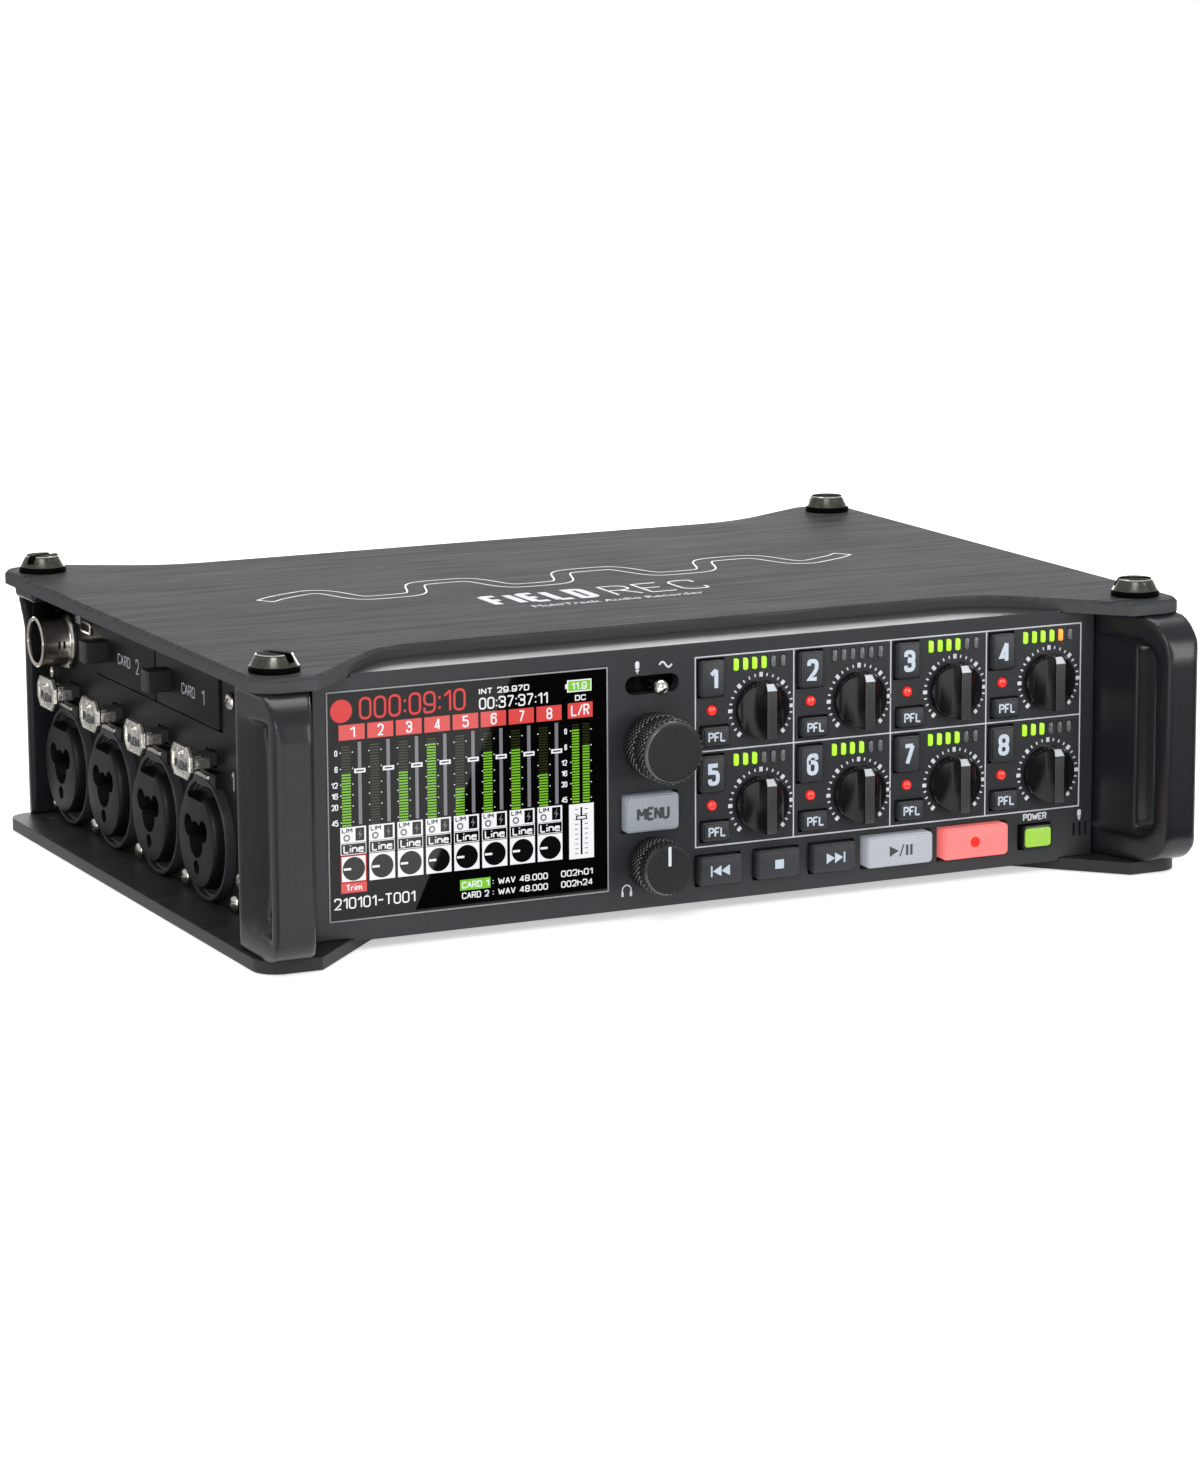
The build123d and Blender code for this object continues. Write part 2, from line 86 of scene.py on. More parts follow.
# ---- materials
def material(name, color, rough=0.45, metal=0.0, glow=None, power=0.0, coat=0.0,
             grain=0.0, grain_size=2200.0, stretch=None, spread=0.1, vary=0.05,
             edge=0.0, spec=0.5):
    """Principled material with procedural roughness, tint and surface grain.

    spread is how far the tint strays from the colour, vary how far the roughness strays.
    stretch draws the noise out along an axis, as brushing does, and evens it on the edges.
    edge is the radius in millimetres of a shading bevel.
    """
    mat = bpy.data.materials.new(name)
    mat.use_nodes = True
    nodes, link = mat.node_tree.nodes, mat.node_tree.links.new
    nodes.clear()

    def node(kind, inputs=(), **settings):
        made = nodes.new("ShaderNode" + kind)
        for key, value in settings.items():
            setattr(made, key, value)
        for socket, value in dict(inputs).items():
            if isinstance(value, bpy.types.NodeSocket):
                link(value, made.inputs[socket])
            else:
                made.inputs[socket].default_value = value
        return made

    bsdf = node("BsdfPrincipled", {"Metallic": metal, "Coat Weight": coat,
                                   "Coat Roughness": 0.08, "Specular IOR Level": spec})
    link(bsdf.outputs[0], node("OutputMaterial").inputs[0])
    if glow:
        bsdf.inputs["Emission Color"].default_value = (*glow, 1)
        bsdf.inputs["Emission Strength"].default_value = power
    coord = node("TexCoord").outputs
    place = node("Mapping", {0: coord["Object"], "Scale": stretch or (1, 1, 1)})
    fine = node("TexNoise", {"Vector": place.outputs[0], "Scale": grain_size,
                             "Detail": 3}).outputs[0]
    broad = node("TexNoise", {"Vector": coord["Object"], "Scale": 45, "Detail": 4})
    sheen = node("MapRange", {0: broad.outputs[0], 3: max(rough - vary, 0.01),
                              4: rough + vary})
    link(sheen.outputs[0], bsdf.inputs["Roughness"])
    share = node("MapRange", {0: fine, 1: 0.32, 2: 0.68}).outputs[0]
    if stretch:
        facing = node("SeparateXYZ", {0: coord["Normal"]}).outputs[2]
        flat = node("Math", {0: facing}, operation="ABSOLUTE").outputs[0]
        share = node("Mix", {0: flat, 2: 0.9, 3: share}).outputs[0]
    low, high = ([min(max(c * k, 0), 1) for c in color] for k in (1 - spread, 1 + spread))
    tint = node("Mix", {0: share, 6: (*low, 1), 7: (*high, 1)}, data_type="RGBA")
    link(tint.outputs[2], bsdf.inputs["Base Color"])
    normal = node("Bevel", {"Radius": edge * MM}, samples=3).outputs[0] if edge else None
    if grain:
        bump = node("Bump", {"Strength": grain, "Distance": 0.00008, "Height": fine})
        if normal:
            link(normal, bump.inputs["Normal"])
        normal = bump.outputs[0]
    if normal:
        link(normal, bsdf.inputs["Normal"])
    return mat


BRUSH = (0.05, 1.0, 1.0)
M = {
    "plate": material(
        "brushed_plate", (0.042, 0.043, 0.0455), 0.5, grain=0.5, grain_size=1000, stretch=BRUSH,
        spread=0.42, edge=0.25, spec=0.006),
    "base": material(
        "dark_plate", (0.02, 0.0205, 0.0215), 0.45, grain=0.5, grain_size=800, stretch=BRUSH,
        spread=0.4, edge=0.25, spec=0.12),
    "panel": material(
        "panel_paint", (0.018, 0.019, 0.022), 0.33, grain=0.1, edge=0.3, spread=0.08, spec=0.35),
    "side": material(
        "side_panel", (0.008, 0.008, 0.0085), 0.42, grain=0.1, edge=0.25, spread=0.15, spec=0.12),
    "rear": material(
        "rear_shell", (0.009, 0.009, 0.01), 0.4, grain=0.15, edge=0.3, spread=0.2, spec=0.25),
    "handle": material(
        "handle_satin", (0.009, 0.0094, 0.0118), 0.28, grain=0.05, grain_size=1500, spec=0.36),
    "black": material("satin_black", (0.005, 0.005, 0.0055), 0.28, grain=0.05, spec=0.35),
    "knob": material("knob_gloss", (0.004, 0.004, 0.0045), 0.2, spec=0.4, spread=0.0),
    # the bar's front face: a rougher finish, and a lighter colour that is painted light
    "grip": material("knob_bar_painted_light", (0.03, 0.03, 0.032), 0.36, grain=0.1),
    "knurl": material("knurled_grip", (0.005, 0.005, 0.0055), 0.35, spec=0.2, spread=0.0),
    # painted highlight: a light colour for the knurl's ridge faces, standing in for light
    # catching them
    "peak": material("knurl_painted_highlight", (0.16, 0.16, 0.17), 0.25, spec=0.6, spread=0.0),
    "cap": material(
        "knob_cap", (0.012, 0.0125, 0.014), 0.45, grain=0.25, grain_size=3500, spread=0.15,
        spec=0.25),
    "rim": material("cut_rim", (0.1, 0.1, 0.105), 0.28, 0.8, grain=0.1),
    "insert": material(
        "jack_insert", (0.004, 0.004, 0.0045), 0.42, grain=0.1, spread=0.15, spec=0.2),
    "lip": material("jack_lip", (0.024, 0.024, 0.027), 0.4, grain=0.08, spec=0.3),
    "screw_top": material("screw_top", (0.0015, 0.0015, 0.0016), 0.6, spread=0.2, spec=0.02),
    "hole": material("jack_depth", (0.0015, 0.0015, 0.0015), 0.6, spread=0.3, spec=0.1),
    "nickel": material("bright_nickel", (0.7, 0.67, 0.63), 0.2, 1.0, spread=0.12),
    "dark_nickel": material(
        "dark_nickel", (0.1, 0.098, 0.085), 0.24, 1.0, grain=0.06, grain_size=1200, spread=0.25),
    "warm": material(
        "warm_nickel", (0.62, 0.57, 0.51), 0.24, 1.0, grain=0.1, grain_size=1200, spread=0.12),
    "cast": material(
        "cast_nickel", (0.8, 0.76, 0.7), 0.26, 1.0, grain=1.0, grain_size=900, spread=0.3),
    "gold": material("contact_gold", (0.75, 0.58, 0.25), 0.25, 1.0),
    "tab": material("door_tab", (0.016, 0.016, 0.0145), 0.42, grain=0.1, spec=0.35),
    "key": material(
        "key_rubber", (0.02, 0.021, 0.025), 0.38, grain=0.12, spread=0.12, spec=0.4),
    "led_off": material("led_off", (0.09, 0.09, 0.095), 0.25, spread=0.25),
    "led_red": material(
        "led_red", (0.6, 0.02, 0.015), 0.15, coat=1.0, glow=(1.0, 0.03, 0.02), power=0.3),
    "engrave": material("engraved_line", (0.62, 0.63, 0.65), 0.4, 0.2),
    "glass": material(
        "display_glass", (0.0012, 0.0012, 0.0014), 0.03, spread=0.2, vary=0.01, spec=0.3),
    "frame": material("window_line", (0.2, 0.205, 0.21), 0.35),
    "board": material(
        "circuit_green", (0.001, 0.005, 0.003), 0.5, grain=0.2, spread=0.4, spec=0.1),
    "cell": material("cell_wrap", (0.05, 0.05, 0.055), 0.35, spread=0.2),
}
for name, color, rough, glow, power in (
        ("key_pale", (0.19, 0.205, 0.235), 0.35, (0.42, 0.47, 0.53), 0.12),
        ("key_clear", (0.24, 0.255, 0.285), 0.33, (0.48, 0.51, 0.56), 0.3),
        ("key_red", (0.6, 0.09, 0.09), 0.33, (1.0, 0.25, 0.23), 0.45),
        ("key_green", (0.2, 0.36, 0.03), 0.33, (0.32, 0.68, 0.05), 0.3)):
    M[name] = material(name, color, rough, grain=0.08, spread=0.08, glow=glow, power=power)
for name, color, glow, power in (
        ("led_green", (0.2, 0.45, 0.02), (0.42, 0.9, 0.03), 0.75),
        ("led_orange", (0.6, 0.2, 0.03), (1.0, 0.32, 0.04), 0.8)):
    M[name] = material(name, color, 0.25, glow=glow, power=power)
for key, name, color, spread in (
        ("ink", "white_ink", (0.5, 0.52, 0.55), 0.05),
        ("line_ink", "line_ink", (0.42, 0.43, 0.46), 0.05),
        ("ink_blue", "key_ink", (0.4, 0.46, 0.53), 0.05),
        ("ink_dim", "side_ink", (0.27, 0.285, 0.31), 0.1),
        ("ink_dark", "dark_ink", (0.03, 0.032, 0.037), 0.1)):
    M[key] = material(name, color, 0.5, spread=spread)


# Display colours: dark glossy faces that give off their own light.
SCREEN = {"white": (0.9, 0.9, 0.93), "red": (0.66, 0.02, 0.018), "box": (0.72, 0.075, 0.07),
          "green": (0.2, 0.52, 0.03), "lime": (0.22, 0.6, 0.05), "grey": (0.2, 0.2, 0.22),
          "olive": (0.022, 0.028, 0.008), "dark": (0.004, 0.004, 0.005)}
for name, rgb in SCREEN.items():
    name = "lcd_" + name
    M[name] = material(name, [c * 0.02 for c in rgb], 0.04, glow=rgb, power=1.0, vary=0.01)
for node_name, key in {
    "top_plate": "plate", "bottom_plate": "base", "front_panel": "panel",
    "left_panel": "side", "right_panel": "side", "rear_chassis": "rear",
    "display_module": "hole", "display_window": "glass", "circuit_boards": "board",
    "battery_tray": "rear", "battery_cells": "cell",
}.items():
    for s in nodes_by_name[node_name].material_slots:
        s.material = M[key]


# ---- shapes
# An outline is a function: outline(inset) gives its points. Only rrect draws them in.
def disc(u, v, r, n=48):
    return lambda inset: [(u + r * math.cos(math.tau * i / n), v + r * math.sin(math.tau * i / n))
                          for i in range(n)]


def rrect(u0, u1, v0, v1, r, n=5):
    """A rectangle with rounded corners."""
    def ring(inset):
        k = max(r - inset, 0.01)
        e = inset + k
        pts = []
        for q, (cu, cv) in enumerate(((u1 - e, v1 - e), (u0 + e, v1 - e),
                                      (u0 + e, v0 + e), (u1 - e, v0 + e))):
            for s in range(n + 1):
                a = (q + s / n) * math.pi / 2
                pts.append((cu + k * math.cos(a), cv + k * math.sin(a)))
        return pts
    return ring


def poly(points):
    """A convex polygon, counter-clockwise."""
    return lambda inset: points


# Stroke lettering on a grid 4 wide and 8 tall: "o" rounds the corner before it,
# and a leading "c" closes the path.
GLYPHS = {
    "0": "c00o40o48o08o", "1": "0648 4840", "2": "0608o48o44o0040",
    "3": "0608o48o44o14 1544o40o00o02", "4": "3038 380242", "5": "48080545o40o00o02",
    "6": "4648o08o00o40o45o05", "7": "0848 4810", "8": "c04o44o48o08o c00o40o44o04o",
    "9": "0200o40o48o08o03o43", ":": "2122 2526", ".": "2021", "-": "0444", "/": "0048",
    "A": "0028 2840 1333", "C": "4648o08o00o40o42", "D": "c0040o48o08",
    "E": "4808 0800 0040 0434", "F": "4808 0800 0434", "H": "0008 4048 0444", "I": "2028",
    "L": "0800 0040", "M": "0008 0823 2348 4840",
    "N": "0008 0840 4048", "O": "c00o40o48o08o",
    "P": "000848o44o04", "R": "000848o44o04 2440", "S": "4648o08o04o44o40o00o02",
    "T": "0848 2028", "U": "0800o40o48", "V": "0820 2048", "W": "0810 1026 2630 3048",
    "Y": "0824 4824 2420", "B": "c0040o44o04 c0444o48o08", "h": "0008 0305o45o40",
    "i": "2025 2728", "n": "0005 0305o45o40", "e": "034345o05o00o40o41",
    "r": "0005 0305o45", "m": "0005 0305o25o20 2325o45o40",
}
GLYPH_WIDTH = {"1": 0.55, "I": 0.12, "i": 0.12, ":": 0.12, ".": 0.12, "M": 1.35, "W": 1.5,
               "m": 1.5, "-": 0.8, " ": 0.5, "r": 0.7, "/": 0.85}
INK_SUNK, INK_PROUD = 0.02, 0.04
PATH_STEP = 0.008


def evaluated(ob):
    """A new mesh from an object with its modifiers applied."""
    bpy.context.view_layer.update()
    dg = bpy.context.evaluated_depsgraph_get()
    return bpy.data.meshes.new_from_object(ob.evaluated_get(dg))


class Shape:
    """One mesh in the making, in millimetres."""

    def __init__(self):
        self.bm = bmesh.new()

    def loft(self, rings, at=HERE, mat=0):
        """Rings of (u, v, w) joined in order. A ring of one point closes to a tip."""
        bm = self.bm
        rows = [[bm.verts.new((at @ Vector(p)) * MM) for p in ring] for ring in rings]
        pick = mat if callable(mat) else (lambda i, j: mat)
        for i in range(len(rows) - 1):
            a, b = rows[i], rows[i + 1]
            n = max(len(a), len(b))
            for j in range(n):
                k = (j + 1) % n
                if len(a) == 1:
                    vs = (a[0], b[j], b[k])
                elif len(b) == 1:
                    vs = (a[j], a[k], b[0])
                else:
                    vs = (a[j], a[k], b[k], b[j])
                bm.faces.new(vs).material_index = pick(i, j)
        for row, i in ((rows[0], 0), (rows[-1], len(rows) - 2)):
            if len(row) > 2:
                bm.faces.new(row).material_index = pick(i, 0)
        return self

    def slab(self, outline, w0, w1, at=HERE, mat=0, r=0.0, seg=3):
        """An extruded outline whose outer edge is rounded by r."""
        steps = [(0.0, w0), (0.0, w1 - r)]
        steps += [(r * (1 - math.cos(a)), w1 - r + r * math.sin(a))
                  for a in (math.pi / 2 * k / seg for k in range(1, seg + 1))] if r else []
        rings = [[(u, v, w) for u, v in outline(i)] for i, w in steps]
        return self.loft(rings, at, mat)

    def flat(self, outline, mat=0):
        """A mark printed on the front, a hair above its surface."""
        return self.slab(outline, -INK_SUNK, INK_PROUD, FRONT, mat)

    def turn(self, profile, at=HERE, u=0.0, v=0.0, n=48, mat=0):
        """A turned solid: (radius, w) pairs from one end to the other."""
        rings = []
        for r, w in profile:
            rings.append([(u, v, w)] if r <= 0 else
                         [(u + r * math.cos(math.tau * i / n),
                           v + r * math.sin(math.tau * i / n), w) for i in range(n)])
        return self.loft(rings, at, mat)

    def add_mesh(self, me, matrix):
        """Copies a mesh that is already in millimetres, through a placement matrix."""
        start = len(self.bm.verts)
        self.bm.from_mesh(me)
        self.bm.verts.ensure_lookup_table()
        for v in self.bm.verts[start:]:
            v.co = (matrix @ v.co) * MM
        return self

    def text(self, body, box, at, w=-0.01, thick=0.04):
        """Lettering in the built-in typeface, fitted to box = (u0, u1, v0, v1)."""
        cu = bpy.data.curves.new("lettering", "FONT")
        cu.body, cu.size, cu.resolution_u, cu.extrude = body, 1.0, 5, 0.01
        ob = bpy.data.objects.new("lettering", cu)
        scene.collection.objects.link(ob)
        me = evaluated(ob)
        low = [min(p.co[k] for p in me.vertices) for k in range(3)]
        high = [max(p.co[k] for p in me.vertices) for k in range(3)]
        start = (box[0], box[2], w)
        size = (box[1] - box[0], box[3] - box[2], thick)
        for p in me.vertices:
            p.co = [start[k] + (p.co[k] - low[k]) * (size[k] / (high[k] - low[k]))
                    for k in range(3)]
        self.add_mesh(me, at)
        bpy.data.objects.remove(ob)
        bpy.data.curves.remove(cu)
        bpy.data.meshes.remove(me)
        return self

    def stroke(self, points, width, at, mat=0, closed=False, w0=-INK_SUNK, w1=INK_PROUD):
        """A line of even width along a run of points, mitred where it turns."""
        n = len(points)
        rings = []
        for i, p in enumerate(points):
            b = Vector(p)
            d0 = b - Vector(points[i - 1]) if i or closed else None
            d1 = Vector(points[(i + 1) % n]) - b if i < n - 1 or closed else None
            d0 = (d0 or d1).normalized()
            d1 = (d1 or d0).normalized()
            d = (d0 + d1).normalized()
            wide = width / 2 / max(d.dot(d1), 0.6)
            off = Vector((-d.y, d.x)) * wide
            lo, hi = b - off, b + off
            rings.append([(lo.x, lo.y, w0), (hi.x, hi.y, w0), (hi.x, hi.y, w1),
                          (lo.x, lo.y, w1)])
        if not closed:
            return self.loft(rings, at, mat)
        rows = [[self.bm.verts.new((at @ Vector(q)) * MM) for q in ring] for ring in rings]
        for i in range(n):
            a, b = rows[i], rows[(i + 1) % n]
            for j in range(4):
                k = (j + 1) % 4
                self.bm.faces.new((a[j], a[k], b[k], b[j])).material_index = mat
        return self

    def write(self, words, box, at, mat=0, weight=0.2, w=-0.01, thick=0.04, gap=0.42):
        """Condensed sans lettering drawn with strokes, fitted to (u0, u1, v0, v1).

        Each path of a letter ends a little higher than the one before it, so that no two
        top faces share a plane.
        """
        u0, u1, v0, v1 = box
        wide = [GLYPH_WIDTH.get(c, 1.0) for c in words]
        unit = (u1 - u0 - weight) / max(sum(wide) + gap * (len(words) - 1), 0.01)
        tall, u = v1 - v0 - weight, u0 + weight / 2
        for c, width in zip(words, wide):
            for level, path in enumerate(GLYPHS.get(c, "").split()):
                closed = path[0] == "c"
                pts = []
                for across, up, soft in re.findall(r"(\d)(\d)(o?)", path):
                    pts.append((Vector((u + int(across) / 4 * width * unit,
                                        v0 + weight / 2 + int(up) / 8 * tall)), soft))
                run = []
                for i, (q, soft) in enumerate(pts):
                    if not soft:
                        run.append(tuple(q))
                        continue
                    a, b = pts[i - 1][0], pts[(i + 1) % len(pts)][0]
                    r = min(0.5 * unit * width, 0.28 * tall, (a - q).length * 0.5,
                            (b - q).length * 0.5)
                    a, b = q + (a - q).normalized() * r, q + (b - q).normalized() * r
                    for t in (k / 5 for k in range(6)):
                        run.append(tuple(a * (1 - t) ** 2 + q * 2 * t * (1 - t) + b * t * t))
                clean = [run[0]]
                for q in run[1:]:
                    if (Vector(q) - Vector(clean[-1])).length > 1e-4:
                        clean.append(q)
                if closed and (Vector(clean[0]) - Vector(clean[-1])).length < 1e-4:
                    clean.pop()
                self.stroke(clean, weight, at, mat, closed, w, w + thick + PATH_STEP * level)
            u += (width + gap) * unit
        return self

    def mesh(self, name):
        me = bpy.data.meshes.new(name)
        bmesh.ops.recalc_face_normals(self.bm, faces=self.bm.faces[:])
        self.bm.to_mesh(me)
        self.bm.free()
        return me


def piece(name, shape, mats, body="chassis", stands_for=None, smooth=35.0, shift=(0, 0, 0)):
    """Puts a shape in the scene on a body, in place of the CAD nodes it stands for.

    mats names the materials in M. On a moving body it stands for the node of that name.
    """
    if stands_for is None:
        stands_for = () if body == "chassis" else [body]
    me = shape.mesh(name) if isinstance(shape, Shape) else shape
    if not me.materials:
        for key in mats.split():
            me.materials.append(M[key])
    me.polygons.foreach_set("use_smooth", [True] * len(me.polygons))
    me.set_sharp_from_angle(angle=math.radians(smooth))
    ob = bpy.data.objects.new(name, me)
    ob.location = Vector(shift) * MM
    scene.collection.objects.link(ob)
    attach(ob, body)
    if stands_for:
        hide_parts(*stands_for)
    return ob


def stand(me):
    ob = bpy.data.objects.new(me.name, me)
    scene.collection.objects.link(ob)
    return ob


def cut(ob, cutters):
    """Adds a boolean cut for each cutter, and returns the cutters' objects."""
    tools = [stand(c.mesh(f"{ob.name}_cut")) for c in cutters]
    for tool in tools:
        mod = ob.modifiers.new("cut", "BOOLEAN")
        mod.operation, mod.solver, mod.object = "DIFFERENCE", "EXACT", tool
    return tools


def clear_away(objects):
    for ob in objects:
        old = ob.data
        bpy.data.objects.remove(ob)
        bpy.data.meshes.remove(old)


def carved(shape, cutters, name):
    """The shape's mesh less each cutter's, in millimetres at the origin."""
    base = stand(shape.mesh(name))
    tools = cut(base, cutters)
    me = evaluated(base)
    clear_away([base, *tools])
    me.transform(Matrix.Scale(1 / MM, 4))
    return me


def softened(node, name, voxel, rounds, cutters):
    """A copy of a CAD node's mesh, trimmed, with its edges moulded round."""
    me = nodes_by_name[node].data.copy()
    me.name = name
    ob = stand(me)
    tools = cut(ob, cutters)
    bpy.context.view_layer.update()
    even = ob.modifiers.new("even", "REMESH")
    even.mode, even.voxel_size = "VOXEL", voxel * MM
    soft = ob.modifiers.new("soft", "SMOOTH")
    soft.factor, soft.iterations = 0.5, rounds
    thin = ob.modifiers.new("thin", "DECIMATE")
    thin.ratio = 0.35
    new = evaluated(ob)
    clear_away([ob, *tools])
    new.name = name
    new.materials.clear()
    return new


# ---- handles
def grip_ramp(side):
    """The long hollow in the outer face, shallow behind and deep at the bar."""
    back_y, front_y, outside, steps = -54.7, -68.35, 90, 32
    depth_at = ((back_y, 0.0), (-56.2, 0.45), (-58.2, 1.05), (-60.2, 1.8), (-62.2, 2.8),
                (-64.2, 4.2), (-66.2, 5.4), (front_y, 5.6))
    rings = []
    for k in range(steps + 1):
        t = k / steps
        z, full = 6.2 + 36.6 * t, (1 - abs(2 * t - 1) ** 5) ** 0.5
        rings.append([(side * (88.45 - d * full), y, z) for y, d in depth_at]
                     + [(side * outside, front_y, z), (side * outside, back_y, z)])
    return Shape().loft(rings)


def bar_round(side):
    """Rounds the outer front edge of the bar."""
    x0, y0, radius, outside, ahead = 86.75, -70.7, 1.6, 90, -74
    arc = [(x0 + radius * math.cos(a * math.pi / 24), y0 - radius * math.sin(a * math.pi / 24))
           for a in range(13)]
    plan = [(outside, y0)] + arc + [(x0, ahead), (outside, ahead)]
    return Shape().loft([[(side * x, y, z) for x, y in plan] for z in (2, 48)])


piece("corner_handle_bars",
      softened("corner_handles", "handles", 0.38, 9,
               [f(s) for f in (grip_ramp, bar_round) for s in (-1, 1)]),
      "handle", stands_for=["corner_handles"], smooth=60)


# ---- track knobs
def track_knob():
    """A domed disc with a tall grip bar across it, the bar's upper end marked white and its front
    face coloured lighter as painted light.
    """
    radius, bar, disc_w, bar_w = 5.0, 0.95, 1.3, 4.4
    side = [4.97, 4.9, 4.7, 4.4, 4.0, 3.5, 3.0, 2.5, 2.0, 1.6, 1.3, 1.1, 0.98]
    cols = [-u for u in side] + [-bar, -bar + 0.12, bar - 0.12, bar] + side[::-1]
    rings = []
    for u in cols:
        half = math.sqrt(radius ** 2 - u * u)
        a = abs(u)
        if a <= bar:
            top = bar_w - (0.12 if a == bar else 0.0)
            end, drop, half = 1.05, 1.15, min(half, 4.8)
        else:
            k = min((a - bar) / 3.5, 1.0)
            top = disc_w + (bar_w - 0.25 - disc_w) * (1 - k) ** 2.3
            end, drop = 0.25, 0.25
        if a > 4.6:
            top -= (a - 4.6) * 0.5
        rings.append([(u, -half, -0.6), (u, -half, top - 0.3), (u, -half + 0.09, top - 0.09),
                      (u, -half + 0.3, top), (u, half - end, top),
                      (u, half - 0.02, top - drop), (u, half, top - drop - 0.15),
                      (u, half, -0.6)])
    middle = len(side)
    # The bar's front faces take material 1, whose lighter colour is painted light; its upper end
    # takes the white ink.
    return Shape().loft(rings, FRONT, lambda i, j: (
        (1 if j in (2, 3) else 2 if j == 4 else 0) if middle <= i < middle + 3 else 0))


knob_mesh = track_knob().mesh("track_knob")
for i, (x, z) in enumerate(CHANNELS, 1):
    piece(f"gain_knob_{i}", knob_mesh, "knob grip ink", f"track_knob_{i}", shift=(x, 0, z),
          smooth=28)


# ---- knurled knobs
def knurled(radius, height, base, cap_r, pointer):
    """Diamond-knurled side with a painted highlight on its ridge faces, bright cut rim and a flat
    cap.
    """
    s = Shape()
    count, depth, pitch, peak = 34, 0.42, 1.05, 0.36
    around, n_rows = count * 6, int((height - base - 0.9) / pitch * 6)

    def wave(x):
        return abs((x % 1.0) * 2 - 1)

    def valley(a, w):
        return max(wave(a * count + w / pitch), wave(a * count - w / pitch))

    def circle(r_at, w):
        rs = [r_at(i / around) for i in range(around)]
        return [(r * math.cos(math.tau * (i / around)), r * math.sin(math.tau * (i / around)), w)
                for i, r in enumerate(rs)]
    levels = [base - 1.6, base] + [base + 0.15 + k * (height - base - 0.75) / n_rows
                                   for k in range(n_rows + 1)]
    rings = [circle(lambda a: radius * 0.55, levels[0]),
             circle(lambda a: radius - 0.25, levels[1])]
    rings += [circle(lambda a: radius - depth * valley(a, w), w) for w in levels[2:]]
    side_rows = len(rings)
    rings += [circle(lambda a: r, w) for r, w in (
        (radius - 0.25, height - 0.7), (radius - 0.3, height - 0.6),
        (cap_r + 0.06, height - 0.06), (cap_r - 0.06, height), (cap_r - 0.4, height))]
    rings.append([(0, 0, height)])

    # Ridge faces of the knurl take the light material: a painted highlight.
    def shade(i, j):
        if i >= side_rows - 1:
            return 1 if i < side_rows + 2 else 2
        w = (levels[i] + levels[min(i + 1, len(levels) - 1)]) / 2
        return 4 if valley((j + 0.5) / around, w) < peak else 0
    s.loft(rings, FRONT, shade)
    if pointer:
        s.slab(rrect(-0.28, 0.28, 0.7, cap_r - 0.1, 0.05), height - 0.02, height + 0.03,
               FRONT, 3)
    return s


for name, body, dial, (x, z) in (
        ("select_dial", "select_encoder_knob", knurled(5.75, 9.0, 0.4, 5.0, False), ENCODER),
        ("headphone_dial", "headphone_knob", knurled(4.8, 7.0, 0.4, 4.2, True), PHONES_KNOB)):
    piece(name, dial, "knurl rim cap ink peak", body, shift=(x, 0, z))
piece("select_shaft", Shape().turn([(0, -3.5), (3.0, -3.5), (3.0, 0.6), (0, 0.6)], FRONT,
                                   *ENCODER, n=32), "warm", "select_encoder_shaft")

# ---- toggle
lever = Shape().turn([(0, -3.6), (0.7, -3.6), (0.8, -0.5), (0.62, 0.9), (0.6, 1.7),
                      (0.8, 2.2), (1.15, 2.6), (1.35, 3.3), (1.25, 3.9), (0.9, 4.4),
                      (0.45, 4.65), (0, 4.7)], FRONT, *TOGGLE, n=32)
piece("slate_lever", lever, "nickel", "slate_toggle", smooth=50)


# ---- keys
def key(name, body, box, proud, mat, art=None, radius=0.55, ink="ink_blue", inset=0.2,
        skirt_shade=0):
    """A moulded key with a rounded crown; art draws its marking."""
    s = Shape()
    u0, u1, v0, v1 = box
    # the skirt: the key's own material, or black on the power key as painted shade on its sides
    s.slab(rrect(u0, u1, v0, v1, radius), -1.9, proud - 0.35, FRONT, skirt_shade, 0.12, 2)
    s.slab(rrect(u0 + inset, u1 - inset, v0 + inset, v1 - inset, radius), proud - 0.5, proud,
           FRONT, 0, 0.22, 4)
    if art:
        art(s, proud)
    piece(name, s, f"{mat} {ink} led_red black", body, smooth=40)


def lettered(words, cx, cz, half_u, half_v, weight):
    """Draws words centred on a key."""
    def draw(s, w):
        s.write(words, (cx - half_u, cx + half_u, cz - half_v, cz + half_v), FRONT, 1, weight,
                w - 0.01)
    return draw


for i, (x, z) in enumerate(CHANNELS, 1):
    cx, cz = x - 9.8, z + 6.15
    key(f"channel_key_{i}", f"track_key_{i}", (cx - 2.35, cx + 2.35, cz - 3.2, cz + 3.2),
        1.2, "key", lettered(str(i), cx, cz, 0.85 if i == 1 else 1.12, 1.95, 0.74))
    px, pz = x - 9.15, z - 4.1
    key(f"listen_key_{i}", f"pfl_key_{i}", (px - 2.6, px + 2.6, pz - 1.68, pz + 1.68),
        1.2, "key", lettered("PFL", px, pz, 1.7, 0.88, 0.3))


def icon(*outlines, mat=1):
    """Draws convex marks on a key."""
    def draw(s, w):
        for outline in outlines:
            s.slab(outline, w - INK_SUNK, w + INK_PROUD, FRONT, mat)
    return draw


def bar(x0, x1, z0, z1):
    return poly([(x0, z0), (x1, z0), (x1, z1), (x0, z1)])


ROW_Z, HALF = 7.25, 0.95


def upright(x0, x1, half=HALF):
    return bar(x0, x1, ROW_Z - half, ROW_Z + half)


def arrow(tip, back):
    pts = [(tip, ROW_Z), (back, ROW_Z + HALF), (back, ROW_Z - HALF)]
    return poly(pts if back < tip else pts[::-1])


